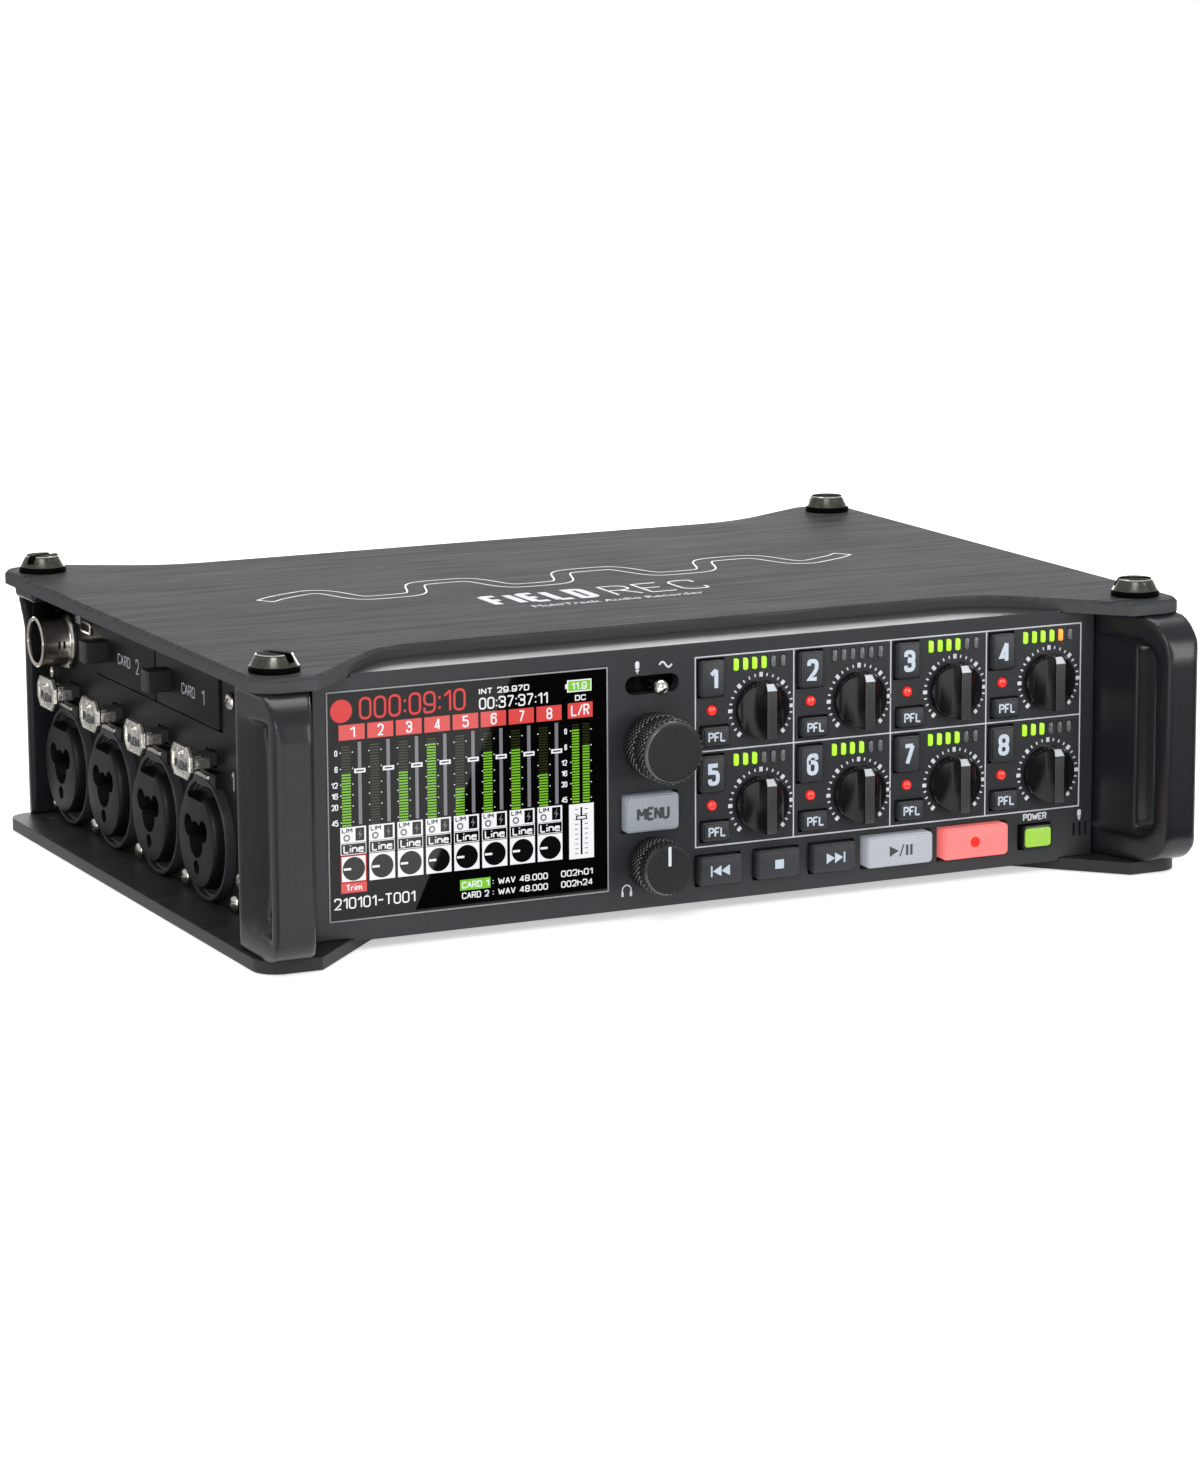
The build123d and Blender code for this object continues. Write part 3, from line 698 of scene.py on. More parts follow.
key("rewind_button", "rewind_key", (-4.4, 4.05, 4.7, 9.8), 1.5, "key",
    icon(upright(-2.25, -1.95), arrow(-1.85, -0.2), arrow(-0.2, 1.45)), 0.7)
key("stop_button", "stop_key", (6.9, 15.4, 4.7, 9.8), 1.5, "key",
    icon(upright(10.35, 12.05, 0.8)), 0.7)
key("forward_button", "forward_key", (17.85, 26.55, 4.7, 9.8), 1.5, "key",
    icon(arrow(22.2, 20.55), arrow(23.85, 22.2), upright(23.95, 24.25)), 0.7)
key("play_button", "play_key", (28.8, 42.05, 4.45, 10.05), 1.5, "key_clear",
    icon(arrow(35.0, 33.2),
         poly([(35.15, ROW_Z - 1.05), (35.4, ROW_Z - 1.05), (36.15, ROW_Z + 1.05),
               (35.9, ROW_Z + 1.05)]),
         upright(36.5, 36.95), upright(37.35, 37.8)), 0.8, "ink_dark")
key("record_button", "record_key", (44.3, 57.55, 4.35, 10.05), 1.5, "key_red",
    icon(disc(50.6, ROW_Z, 0.95, 32), mat=2), 0.8)
# The power key's skirt is black under its green crown: painted shade for the key's unlit side
# walls.
key("power_button", "power_key", (60.7, 66.7, 4.75, 8.9), 1.5, "key_green", None, 0.6,
    inset=0.35, skirt_shade=3)
key("menu_button", "menu_key", (-18.5, -8.25, 15.5, 21.95), 1.5, "key_pale",
    lettered("MENU", -13.35, 18.7, 3.15, 1.2, 0.5), 0.8, "ink_dark")

# ---- lamps
LIT = {1: 4, 2: 0, 3: 4, 4: 4, 5: 3, 6: 4, 7: 4, 8: 3}
lamps = Shape()
for i, (x, z) in enumerate(CHANNELS, 1):
    for k, dx in enumerate((-4.87, -3.04, -1.27, 0.56, 2.38, 4.26)):
        colour = 0 if k < LIT[i] else 1 if (i == 4 and k == 4) else 2
        lamps.slab(rrect(x + dx - 0.45, x + dx + 0.45, z + 7.05, z + 9.2, 0.42, 5),
                   -1.0, 0.32, FRONT, colour, 0.2, 3)
    lamps.turn([(0.95, -1.0), (0.95, 0.0), (0.88, 0.28), (0.68, 0.5), (0.36, 0.64),
                (0, 0.68)], FRONT, x - 9.6, z + 0.45, 24, 3)
piece("meter_lamps", lamps, "led_green led_orange led_off led_red",
      stands_for=["indicator_leds"], smooth=50)

# ---- front panel printing
ink = Shape()
GRID_X = (-4.48, 14.70, 33.98, 53.36, 72.84)
GRID_Z = (11.47, 28.32, 44.96)
LINE = 0.115
for x in GRID_X:
    ink.flat(bar(x - LINE, x + LINE, GRID_Z[0] - LINE, GRID_Z[2] + LINE), 1)
for z in GRID_Z:
    for a, b in zip(GRID_X, GRID_X[1:]):
        ink.flat(bar(a + LINE, b - LINE, z - LINE, z + LINE), 1)
SCALE_R, SCALE_STEP = 6.0, 11.25
for x, z in CHANNELS:
    for k in range(-12, 13):
        c, sn = polar(90 - k * SCALE_STEP, 1)
        hu, hv = (0.33, 0.42) if k % 4 == 0 else (0.13, 0.27)
        ink.flat(poly([(x + (SCALE_R + dv) * c - du * sn, z + (SCALE_R + dv) * sn + du * c)
                       for du, dv in ((-hu, -hv), (-hu, hv), (hu, hv), (hu, -hv))]))


def microphone(x, z, k):
    ink.flat(rrect(x - 0.5 * k, x + 0.5 * k, z - 0.5 * k, z + 1.2 * k, 0.48 * k))
    ink.flat(poly([(x - 0.5 * k, z - 0.62 * k), (x - 0.25 * k, z - 1.1 * k),
                   (x + 0.25 * k, z - 1.1 * k), (x + 0.5 * k, z - 0.62 * k)]))
    ink.flat(bar(x - 0.1 * k, x + 0.1 * k, z - 1.5 * k, z - 1.15 * k))


microphone(-15.6, 44.3, 0.8)
ink.stroke([(-11.4 + 0.12 * k, 44.3 + 0.5 * math.sin(k / 20 * math.tau))
            for k in range(21)], 0.3, FRONT)
microphone(73.0, 9.9, 0.75)
ink.write("POWER", (61.3, 66.2, 9.7, 11.0), FRONT, 0, 0.25)
# The headphone mark: a band and two cups.
PHONES_U = -17.8
ink.stroke([(PHONES_U + 0.85 * math.cos(math.radians(a)), 5.2 + 0.95 * math.sin(math.radians(a)))
            for a in range(-20, 201, 10)], 0.22, FRONT)
for sx in (-1, 1):
    u = PHONES_U + sx * 0.8
    ink.slab(rrect(u - 0.22, u + 0.22, 4.15, 5.05, 0.15), -INK_SUNK, 0.05, FRONT)
piece("front_lettering", ink, "ink line_ink")

# ---- display
S = {k: i for i, k in enumerate(SCREEN)}
lcd = Shape()
# Each thing drawn on the display lies on one of these heights, later ones on top.
LOW, MID, HIGH, PEAK = 0.02, 0.04, 0.06, 0.08
FILM = 0.02


def area_of(outline, colour, lift):
    lcd.slab(outline, lift, lift + FILM, FRONT, S[colour])


def block(x0, x1, z0, z1, colour, lift=LOW):
    area_of(bar(x0, x1, z0, z1), colour, lift)


def words(body, x0, x1, z0, z1, colour="white", lift=0.05, weight=0.2):
    lcd.write(body, (x0, x1, z0, z1), FRONT, S[colour], weight, lift, FILM)


lcd.slab(disc(-70.5, 41.35, 1.98, 48), LOW, 0.05, FRONT, S["red"])
words("000:09:10", -67.3, -47.8, 39.6, 43.45, "red", weight=0.42)
words("INT 29.97D", -45.4, -36.0, 42.0, 43.05)
words("00:37:37:11", -45.35, -32.55, 39.4, 41.45, weight=0.26)
block(-28.9, -24.3, 40.95, 43.05, "white")
block(-29.25, -28.9, 41.6, 42.4, "white")
block(-28.7, -24.5, 41.15, 42.85, "lime", MID)
words("11.9", -28.1, -25.2, 41.35, 42.6, lift=HIGH)
words("DC", -27.45, -25.4, 39.4, 40.4)
STEP, METER_STEP, TICK = 5.19, 0.48, 0.2
MARKS = ((0, 34.25), (6, 31.5), (12, 28.8), (16, 26.95), (20, 25.05), (45, 22.35))
LEVEL = (30.3, None, 29.9, 34.5, 26.2, 32.1, 32.1, 27.1)


def meter(x0, x1, top, z0=21.65, z_end=35.9):
    """A column of bars, lit up to top."""
    for k in range(int((z_end - z0) / METER_STEP)):
        z = z0 + k * METER_STEP
        on = top is not None and z < top
        block(x0, x1, z, z + (0.28 if on else 0.26), "green" if on else "olive")


def tick(x, z):
    block(x, x + TICK, z - 0.09, z + 0.09, "white")


for c in range(8):
    x = -71.0 + STEP * c
    block(x, x + 4.7, 36.35, 38.97, "box")
    words(str(c + 1), x + (1.85 if c else 2.0), x + 2.95, 36.65, 38.65, weight=0.27)
    meter(x + 0.4, x + 2.05, LEVEL[c])
    block(x + 3.4, x + 4.02, 21.8, 35.9, "grey")
    block(x + 2.7, x + 4.75, 30.62, 31.38, "white", MID)
    block(x + 3.0, x + 4.45, 30.88, 31.12, "dark", HIGH)
    for _, z in MARKS:
        tick(x + 0.12, z)
        tick(x + 2.33, z)
    block(x + 0.02, x + 4.68, 18.8, 21.5, "white")
    words("LIM", x + 0.3, x + 2.2, 20.5, 21.35, "dark", weight=0.17)
    area_of(disc(x + 1.15, 19.65, 0.62, 24), "grey", MID)
    area_of(disc(x + 1.15, 19.65, 0.32, 24), "white", HIGH)
    block(x + 2.75, x + 4.35, 19.05, 21.25, "dark", MID)
    area_of(poly([(x + 3.75, 21.05), (x + 3.15, 20.05), (x + 3.5, 20.05)]), "grey", HIGH)
    area_of(poly([(x + 3.35, 19.25), (x + 3.95, 20.2), (x + 3.6, 20.25)]), "grey", HIGH)
    block(x + 0.02, x + 4.68, 16.75, 18.72, "white")
    block(x + 0.14, x + 4.56, 16.87, 18.6, "dark", MID)
    words("Line", x + 0.5, x + 4.2, 17.05, 18.45, lift=HIGH, weight=0.24)
    block(x + 0.02, x + 4.68, 12.0, 16.62, "red" if c == 0 else "white")
    if c == 0:
        block(x + 0.2, x + 4.5, 12.18, 16.44, "white", MID)
    area_of(disc(x + 2.35, 14.3, 2.03, 40), "dark", HIGH)
    block(x + 0.5, x + 1.85, 14.12, 14.5, "white", PEAK)
for label, z in MARKS:
    wide = 0.55 if label < 10 else 1.2
    words(str(label), -71.3 - wide, -71.3, z - 0.52, z + 0.52, weight=0.17)
    words(str(label), -29.0 - wide * 0.9, -29.0, z - 0.5, z + 0.5, weight=0.17)
    tick(-28.4, z)
    tick(-24.55, z)
block(-70.98, -66.32, 10.2, 11.92, "box")
words("Trim", -70.1, -67.2, 10.5, 11.65)
block(-28.8, -24.12, 36.4, 39.05, "box")
words("L/R", -28.2, -24.75, 36.75, 38.75, weight=0.27)
meter(-28.05, -26.7, 34.5)
meter(-26.05, -24.75, 31.3)
block(-28.7, -24.02, 11.8, 21.4, "white")
block(-26.55, -26.2, 12.5, 20.8, "dark", MID)
block(-27.4, -25.35, 18.6, 19.4, "dark", HIGH)
block(-27.15, -25.6, 18.8, 19.2, "white", PEAK)
for k in range(10):
    z = 12.7 + k * 0.86
    block(-27.6, -27.0, z - 0.06, z + 0.06, "dark", MID)
    block(-25.75, -25.15, z - 0.06, z + 0.06, "dark", MID)
words("210101-T001", -72.3, -57.5, 7.45, 9.45, weight=0.25)
block(-49.2, -43.55, 8.45, 10.3, "lime")
words("CARD 1", -48.9, -43.85, 8.8, 9.95, lift=HIGH, weight=0.19)
words("CARD 2", -48.9, -43.85, 6.95, 8.1, weight=0.19)
for z, left in ((8.85, "002h01"), (7.0, "002h24")):
    words(": WAV 48.000", -43.2, -32.8, z, z + 1.15, weight=0.19)
    words(left, -30.3, -24.3, z, z + 1.15, weight=0.19)
piece("display_graphics", lcd, " ".join("lcd_" + k for k in SCREEN))
edge = Shape()
for box in ((-73.2, -72.95, 5.35, 44.75), (-21.45, -21.2, 5.35, 44.75),
            (-72.95, -21.45, 5.35, 5.6), (-72.95, -21.45, 44.5, 44.75)):
    edge.slab(bar(*box), -INK_SUNK, 0.03, FRONT)
piece("window_border", edge, "frame")

# ---- top engraving
def wave_point(t):
    """The middle of a soft-cornered square wave, lower at its two ends."""
    rise = math.tanh(2.6 * math.sin(t * math.tau * 4.0))
    return Vector((-58.5 + 117.5 * t,
                   7.5 + 5.6 * rise * min(1.0, 0.2 + 3.0 * math.sin(math.pi * t))))


def band(side, half=1.75, n=320):
    """One edge of the ribbon that follows the wave."""
    pts = []
    for k in range(n + 1):
        d = (wave_point(min(k + 1, n) / n) - wave_point(max(k - 1, 0) / n)).normalized()
        p = wave_point(k / n) + Vector((-d.y, d.x)) * side * half
        pts.append((p.x, p.y))
    return pts


piece("top_ornament", Shape().stroke(band(1) + band(-1)[::-1], 0.3, TOP, closed=True),
      "engrave")
title = Shape()
title.write("FIELD", (-23.4, -2.6, -15.9, -5.9), TOP, 0, 1.6, gap=0.9)
title.write("REC", (0.6, 19.4, -15.7, -6.1), TOP, 1, 0.4)
title.text("MultiTrack Audio Recorder", (-18.3, 15.5, -20.9, -18.9), TOP)
piece("top_lettering", title, "ink engrave")


# ---- corner screws
def corner_screw():
    """A slotted cone head on a black washer, with a bright rim round its flat top."""
    cone, rim = range(8, 12), 12
    head = Shape().turn([(0, -10), (2.2, -10), (2.2, 0.0), (4.2, 0.0), (4.35, 0.13),
                         (4.35, 0.7), (4.26, 0.84), (4.09, 0.87), (4.13, 0.93),
                         (4.19, 1.07), (4.05, 1.25), (3.3, 2.68), (3.16, 2.95), (2.98, 3.11),
                         (2.7, 3.15), (0, 3.18)], n=64,
                        mat=lambda i, j: 2 if i == rim else 0 if i in cone else 1)
    return carved(head, [Shape().slab(rrect(-6, 6, -0.8, 0.8, 0.05), 1.7, 6.0)],
                  "corner_screw")


SCREW_X, SCREW_Y = 82.95, 58.4
screw_me = corner_screw()
screws = Shape()
for sx, sy, turn in ((-1, -1, -61), (1, -1, -25), (-1, 1, 33), (1, 1, -25)):
    screws.add_mesh(screw_me, spot(TOP, SCREW_X * sx, SCREW_Y * sy)
                    @ Matrix.Rotation(math.radians(turn), 4, "Z"))
piece("corner_screw_heads", screws, "dark_nickel screw_top nickel",
      stands_for=["corner_screws"], smooth=30)


# ---- panel screws
def panel_screw():
    head = Shape().turn([(0, -2.2), (0.9, -2.2), (0.9, 0), (1.55, 0), (1.6, 0.15),
                         (1.5, 0.5), (1.2, 0.78), (0.75, 0.93), (0, 0.97)], n=28)
    return carved(head, [Shape().slab(rrect(-a, a, -b, b, 0.04), 0.35, 2)
                         for a, b in ((0.95, 0.17), (0.17, 0.95))], "panel_screw")


small = panel_screw()
fixings = Shape()
for at, s in SIDES:
    for k, (y, z) in enumerate(((-30, 3.95), (-6.2, 3.95), (17.6, 3.95), (41.4, 3.95),
                                (-33, 8.5), (-29.7, 39.3), (64.6, 3.95), (64.6, 29.3))):
        fixings.add_mesh(small, spot(at, s * y, z) @ Matrix.Rotation(0.5 + 1.3 * k, 4, "Z"))
piece("panel_screw_heads", fixings, "nickel", stands_for=["panel_screws"], smooth=40)


# ---- input jacks
def jack_face():
    """The keyed insert in a combined input socket, with its three contact holes."""
    whole = Shape().turn([(0, -14), (9.2, -14), (9.2, 0.2), (8.75, 0.4), (8.75, 2.3),
                          (8.6, 2.9), (8.35, 3.15), (8.0, 3.2), (0, 3.2)], n=72)
    cuts = [Shape().turn([(0, -16), (3.25, -16), (3.25, 5), (0, 5)], n=40)]
    for a, r, far in ((150, 1.95, 4.1), (30, 1.95, 4.1), (270, 1.25, 4.9)):
        cuts.append(Shape().turn([(0, -6), (r, -6), (r, 5), (0, 5)], HERE, *polar(a, far), 32))
    cuts.append(Shape().slab(rrect(-3.6, 3.6, 7.1, 11.0, 0.3), 0.9, 6))
    return carved(whole, cuts, "jack_insert")


insert_me = jack_face()
HOOK_V = TAB_Z - JACK_Z - 3.3
jacks = Shape()
for at, s in SIDES:
    for y in JACK_Y:
        here = spot(at, s * y, JACK_Z)
        jacks.add_mesh(insert_me, here)
        # the ring round the insert, the throat, the shroud and the floor
        jacks.turn([(9.6, -1), (10.95, -1), (10.95, 1.5), (10.85, 1.75), (10.55, 1.82),
                    (10.25, 1.72), (10.18, 1.45), (10.18, 0.9), (9.6, 0.6), (9.6, -1)], here,
                   n=72, mat=1)
        jacks.turn([(9.0, -3), (9.9, -3), (9.9, 0.75), (9.0, 0.75), (9.0, -3)], here, n=64,
                   mat=2)
        jacks.slab(rrect(-5.2, 5.2, 9.2, 12.3, 0.5), -1.2, 1.55, here, 2, 0.25)
        jacks.turn([(0, -18.8), (3.2, -18.8), (3.2, -18), (0, -18)], here, n=32, mat=2)
        for a, far in ((150, 4.4), (30, 4.4), (270, 4.9)):
            jacks.turn([(0.55, -6.5), (0.55, -1.0), (0.35, -0.7), (0, -0.65)], here,
                       *polar(a, far), 16, 3)
        # the latch's fixed hook, then two moulded marks
        jacks.slab(rrect(-3.6, 3.0, HOOK_V, HOOK_V + 0.8, 0.25), -0.5, 1.9, here, 3, 0.2, 3)
        jacks.slab(rrect(-0.12, 0.12, -8.0, -6.9, 0.05), 3.15, 3.24, here, 2)
        jacks.slab(rrect(6.6, 6.85, -0.6, 0.8, 0.05), 3.15, 3.24, here, 2)
piece("input_sockets", jacks, "insert lip black warm", stands_for=["input_jacks"])


# ---- latch tabs
LATCH_PLAN = ((-4.65, -1.3), (-3.1, -3.0), (3.1, -3.0), (4.65, -1.3), (4.65, 1.3),
              (3.1, 3.0), (-3.1, 3.0), (-4.65, 1.3))
# (size, height) of the tab from its back, over its raised rim, to its domed middle
LATCH_LEVELS = ((0.8, 4.6), (0.97, 4.8), (1.0, 5.1), (0.98, 5.6), (0.94, 5.8), (0.88, 5.82),
                (0.83, 5.72), (0.8, 5.5), (0.5, 5.68), (0.2, 5.74))


def latch(shape, here):
    """A cast push tab on its stem, with a raised rim, a round mark and its word."""
    shape.loft([[(u * k, v * k, lift) for u, v in LATCH_PLAN] for k, lift in LATCH_LEVELS]
               + [[(0, 0, 5.75)]], here)
    shape.slab(rrect(-2.2, 2.2, -1.1, 1.1, 0.2), -3.5, 4.9, here, 1)
    shape.slab(rrect(-3.6, 3.6, -1.5, 1.5, 0.5), 3.3, 4.9, here, 0, 0.3, 3)
    for u in (-3.85, 3.85):
        shape.slab(rrect(u - 0.35, u + 0.35, -1.0, 1.0, 0.2), 1.9, 4.9, here, 0, 0.15, 2)
    shape.turn([(0.5, 5.6), (0.5, 5.86), (0.62, 5.9), (0.8, 5.86), (0.8, 5.6)], here, 0, 1.45,
               20, 0)
    shape.write("PUSH", (-2.7, 2.7, -1.55, 0.2), here, 1, 0.38, 5.6, 0.16)
    return shape


tabs = Shape()
for y in JACK_Y:
    latch(tabs, spot(RIGHT, y, TAB_Z))
for n, y in enumerate(JACK_Y, 1):
    piece(f"latch_tab_{n}", latch(Shape(), spot(LEFT, -y, TAB_Z)), "cast ink_dark",
          f"input_latch_{n}", smooth=30)
piece("latch_tabs_5_8", tabs, "cast ink_dark", "input_latches_5_8", smooth=30)

# ---- power inlet
PIN_CIRCLE = 1.9
y, z = DC
inlet = Shape().turn([(0, -12), (4.3, -12), (4.3, 0.0), (5.45, 0.0), (5.55, 0.2), (5.55, 0.75),
                      (5.3, 1.0), (4.75, 1.05), (4.6, 1.3), (4.6, 5.9), (4.72, 6.05),
                      (4.72, 6.4), (4.55, 6.6), (4.15, 6.6), (3.95, 6.4), (3.9, 6.0),
                      (3.9, -3.0), (0, -3.0)], LEFT, -y, z, 56,
                     lambda i, j: 1 if i in (3, 4, 5, 6, 10, 11, 12, 13) else
                     2 if i > 14 else 0)
for a in (45, 135, 225, 315):
    du, dv = polar(a, PIN_CIRCLE)
    inlet.turn([(0.5, -3.5), (0.5, 3.6), (0.3, 4.1), (0, 4.2)], LEFT, -y + du, z + dv, 16, 3)
inlet.slab(rrect(-y - 0.5, -y + 0.5, z + 3.3, z + 4.2, 0.1), -3.2, 5.2, LEFT, 0)
for w in (2.1, 3.1):
    inlet.slab(rrect(-y + 4.4, -y + 4.68, z - 0.85, z + 0.45, 0.04), w, w + 0.45, LEFT, 2)
piece("power_inlet", inlet, "warm nickel black gold", stands_for=["dc_power_connector"])

# ---- card doors
# (door from, to, pull tab from, to, word centre, number from, to) along the case
DOORS = ((-24.5, 6.3, -1.2, 2.4, -9.8, -17.8, -16.45),
         (6.95, 38.6, 31.45, 35.05, 23.0, 15.2, 16.8))
for n, (y0, y1, t0, t1, label_y, n0, n1) in enumerate(DOORS, 1):
    door = Shape()
    door.slab(rrect(-y1, -y0, 33.3, 43.0, 0.4), -0.9, 0.45, LEFT, 0, 0.15)
    door.slab(rrect(-t1, -t0, 36.2, 40.3, 0.35), -0.5, 4.85, LEFT, 1, 0.4, 4)
    door.write("CARD", (-label_y - 3.3, -label_y + 3.3, 36.9, 38.9), LEFT, 2, 0.28, 0.43)
    door.write(str(n), (-n1, -n0, 36.5, 39.3), LEFT, 2, 0.32, 0.43)
    piece(f"card_flap_{n}", door, "side tab ink_dim", f"card_door_{n}")

# ---- other sockets
more = Shape()


def phone_socket(at, u, v, bore, collar, height, deep=18.0):
    """A round socket: its collar and bore, and a dark floor."""
    more.turn([(collar * 0.8, -14), (collar, -14), (collar, height - 0.3),
               (collar - 0.3, height), (bore + 0.25, height), (bore, height - 0.25),
               (bore, -deep + 4), (collar * 0.8, -14)], at, u, v, 48, 0)
    more.turn([(0, -deep + 3), (bore * 1.02, -deep + 3), (bore * 1.02, -deep + 4),
               (0, -deep + 4)], at, u, v, 48, 1)


phone_socket(RIGHT, 52.0, 36.9, 3.25, 5.6, 1.6)
for y in (34.0, 18.0):
    phone_socket(RIGHT, y, 37.0, 3.7, 5.0, 2.7)
    for a in (90, 210, 330):
        du, dv = polar(a, PIN_CIRCLE)
        more.turn([(0.45, -10), (0.45, 0.6), (0, 0.9)], RIGHT, y + du, 37 + dv, 12, 3)
phone_socket(RIGHT, 2.0, 37.0, 1.8, 3.6, 1.0, 14)
# two bayonet timecode sockets
BNC_U, BNC_V = 44.8, (31.0, 14.5)
for v in BNC_V:
    more.turn([(4.1, 0.3), (6.2, 0.0), (6.2, 1.3), (4.8, 1.4), (4.8, 9.3), (4.6, 9.6),
               (4.25, 9.6), (4.1, 9.3), (4.1, 0.3)], BACK, BNC_U, v, 40, 2)
    more.turn([(0, 0.2), (4.15, 0.2), (4.15, 0.9), (0, 0.9)], BACK, BNC_U, v, 32, 1)
    more.turn([(2.3, 0.5), (2.3, 8.0), (1.0, 8.1), (1.0, 3.0), (0, 3.0)], BACK, BNC_U, v, 24, 4)
    for u in (BNC_U - 5.1, BNC_U + 5.1):
        more.slab(rrect(u - 0.55, u + 0.55, v - 0.5, v + 0.5, 0.45), 6.0, 7.0, BACK, 2)
# the barrel power socket
more.turn([(2.7, -5), (3.0, -5), (3.0, 0.5), (2.7, 0.5), (2.7, -5)], BACK, -BNC_U, 31.0, 32, 2)
more.turn([(0, -4), (1.0, -4), (1.0, -0.6), (0, -0.3)], BACK, -BNC_U, 31.0, 20, 2)
# the microphone socket and its contacts
more.slab(rrect(-51.4, -38.6, 11.0, 17.0, 0.9), -5, 0.9, BACK, 0, 0.2)
more.slab(rrect(-50.2, -39.8, 12.2, 15.8, 0.5), 0.85, 0.93, BACK, 1)
for k in range(6):
    more.slab(rrect(-49.3 + k * 1.65, -48.7 + k * 1.65, 13.6, 14.4, 0.1), 0.9, 1.0, BACK, 3)
# the data socket on the left side
more.slab(rrect(-46.9, -41.5, 39.6, 41.9, 0.5), -3, 0.35, LEFT, 2, 0.15)
more.slab(rrect(-46.4, -42.0, 40.1, 41.4, 0.35), 0.33, 0.42, LEFT, 1)
piece("signal_sockets", more, "black hole nickel gold ink",
      stands_for=["signal_connectors"])

# ---- side and rear text
side_text = Shape()
for n, y in enumerate(JACK_Y, 1):
    side_text.write(str(n), (-y + (9.7 if n == 1 else 9.2), -y + 10.9, 23.5, 27.1), LEFT, 0,
                    0.4)
    side_text.write(str(n + 4), (y + 8.9, y + 10.6, 23.5, 27.1), RIGHT, 0, 0.4)
for label, at, *box in (
        ("USB", LEFT, -50.2, -47.6, 40.8, 42.2),
        ("LINE OUT 1", RIGHT, 29.0, 39.0, 42.9, 44.3),
        ("LINE OUT 2", RIGHT, 13.0, 23.0, 42.9, 44.3),
        ("PHONES", RIGHT, 48.5, 56.0, 43.1, 44.4),
        ("SUB OUT", RIGHT, -1.8, 5.8, 42.0, 43.2),
        ("TIMECODE IN", BACK, 38.0, 51.6, 39.0, 40.3),
        ("TIMECODE OUT", BACK, 37.4, 52.2, 22.6, 23.9),
        ("DC 12V", BACK, -48.6, -41.0, 35.6, 36.9),
        ("MIC CAPSULE", BACK, -51.4, -38.6, 18.4, 19.6)):
    side_text.write(label, box, at)
piece("side_lettering", side_text, "ink_dim")

# The battery door: grip ribs, a lettered mark and an arrow, all riding the tray.
marks = Shape()
DOOR_TOP, GRIP_TOP, GRIP_Z0, GRIP_Z1 = 2.4, 4.6, 33.5, 36.0
for k in range(9):
    marks.slab(rrect(-10.5 + k * 2.4, -9.9 + k * 2.4, GRIP_Z0 + 0.35, GRIP_Z1 - 0.35, 0.2),
               GRIP_TOP - 0.1, GRIP_TOP + 0.22, BACK, 0, 0.1)
marks.write("BATTERY", (-9.0, 9.0, 14.2, 16.8), BACK, 1, 0.34, DOOR_TOP - 0.01)
marks.slab(poly([(-2.2, 11.6), (2.2, 11.6), (0.0, 9.4)]), DOOR_TOP - 0.02, DOOR_TOP + 0.03,
           BACK, 1)
marks.stroke([(-29.2, 7.6), (29.2, 7.6), (29.2, 34.6), (-29.2, 34.6)], 0.35, BACK, 0, True,
             DOOR_TOP - 0.05, DOOR_TOP + 0.12)
piece("battery_door_marks", marks, "rear ink_dim", "battery_tray", stands_for=())

# ---- floor and lights
FLOOR_HALF, FLOOR_Z = 9.0, -0.0002
floor_me = bpy.data.meshes.new("floor")
floor_me.from_pydata([(x * FLOOR_HALF, y * FLOOR_HALF, FLOOR_Z)
                      for x, y in ((-1, -1), (1, -1), (1, 1), (-1, 1))], [], [(0, 1, 2, 3)])
floor_me.materials.append(material("floor_white", (0.86, 0.86, 0.86), 0.9, spread=0.01,
                                   grain_size=20, spec=0.1, glow=(1, 1, 1), power=0.5))
stand(floor_me)

world = bpy.data.worlds.new("studio")
world.use_nodes = True
sky = world.node_tree.nodes["Background"]
sky.inputs[0].default_value, sky.inputs[1].default_value = (1.0, 1.0, 1.0, 1), 0.6
scene.world = world


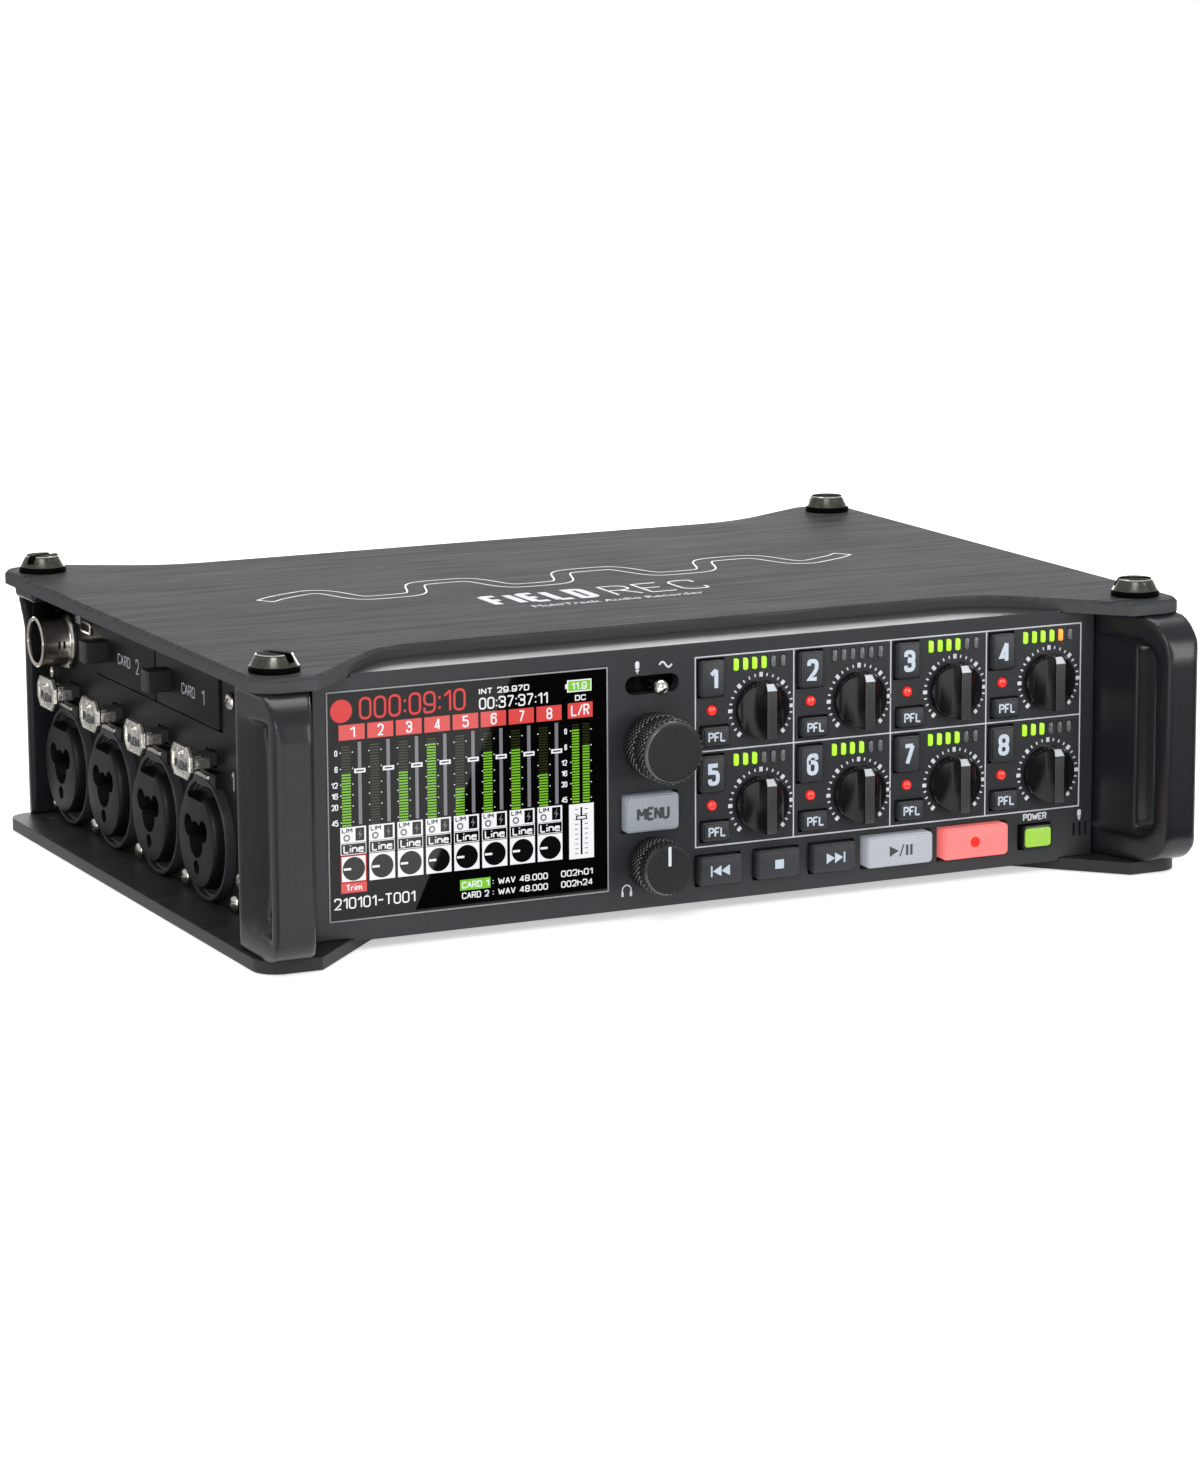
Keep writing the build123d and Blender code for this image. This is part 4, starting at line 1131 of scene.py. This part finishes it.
def area(name, spot, aim, width, height, power):
    """A soft rectangular light that the camera does not see."""
    data = bpy.data.lights.new(name, "AREA")
    data.shape, data.size, data.size_y, data.energy = "RECTANGLE", width, height, power
    ob = bpy.data.objects.new(name, data)
    ob.location = Vector(spot)
    ob.rotation_mode = "QUATERNION"
    ob.rotation_quaternion = (Vector(aim) - Vector(spot)).to_track_quat("-Z", "Y")
    scene.collection.objects.link(ob)
    ob.visible_camera = False


area("key_soft", (-0.7, -1.3, 1.2), (0, 0, 0.03), 0.8, 0.8, 12)
area("top_soft", (0.2, 0.5, 1.4), (0, 0, 0.03), 1.4, 0.8, 12)
area("back_strip", (0.62, 1.15, 0.26), (0, -0.05, 0.045), 1.7, 0.3, 9)
area("left_strip", (-0.9, -0.9, 0.3), (-0.05, -0.05, 0.03), 0.12, 0.8, 3)
area("right_strip", (0.75, -1.1, 0.4), (0.05, -0.05, 0.03), 0.2, 0.9, 6)

# Dark cards lie on the floor in front and at the left, seen only in reflections.
card_me = bpy.data.meshes.new("dark_cards")
card_me.from_pydata([(x * MM, y * MM, 0.0006) for x, y in
                     ((-48.5, -77.7), (61.8, -278.8), (116.7, -379.0), (420, -379), (420, -77.7),
                      (-93, -70), (-93, 700), (-700, 700), (-400, -70))],
                    [], [(0, 1, 2, 3, 4), (5, 6, 7, 8)])
card_me.materials.append(material("card_black", (0.004, 0.004, 0.004), 0.9, spread=0.0, spec=0.0))
card_me.materials.append(material("card_grey", (0.02, 0.02, 0.02), 0.9, spread=0.0, spec=0.0,
                                  glow=(1, 1, 1), power=0.36))
card_me.polygons[1].material_index = 1
card = stand(card_me)
card.visible_camera = card.visible_diffuse = card.visible_shadow = False
card.visible_transmission = False

# ---- camera
fwd = Vector((0.42193, 0.88598, -0.19239)).normalized()
right = Vector((0.90236, -0.43095, -0.00560))
right = (right - fwd * right.dot(fwd)).normalized()
cam_data = bpy.data.cameras.new("camera")
cam_data.lens, cam_data.sensor_width, cam_data.sensor_fit = 116.25, 36.0, "AUTO"
cam_data.clip_start, cam_data.clip_end = 0.05, 50
camera = bpy.data.objects.new("camera", cam_data)
basis = Matrix((right, right.cross(fwd), -fwd)).transposed().to_4x4()
basis.translation = Vector((-364.33, -773.91, 189.24)) * MM
camera.matrix_world = basis
scene.collection.objects.link(camera)
scene.camera = camera
scene.view_settings.view_transform = "Standard"
scene.view_settings.look = "None"

bpy.context.view_layer.update()
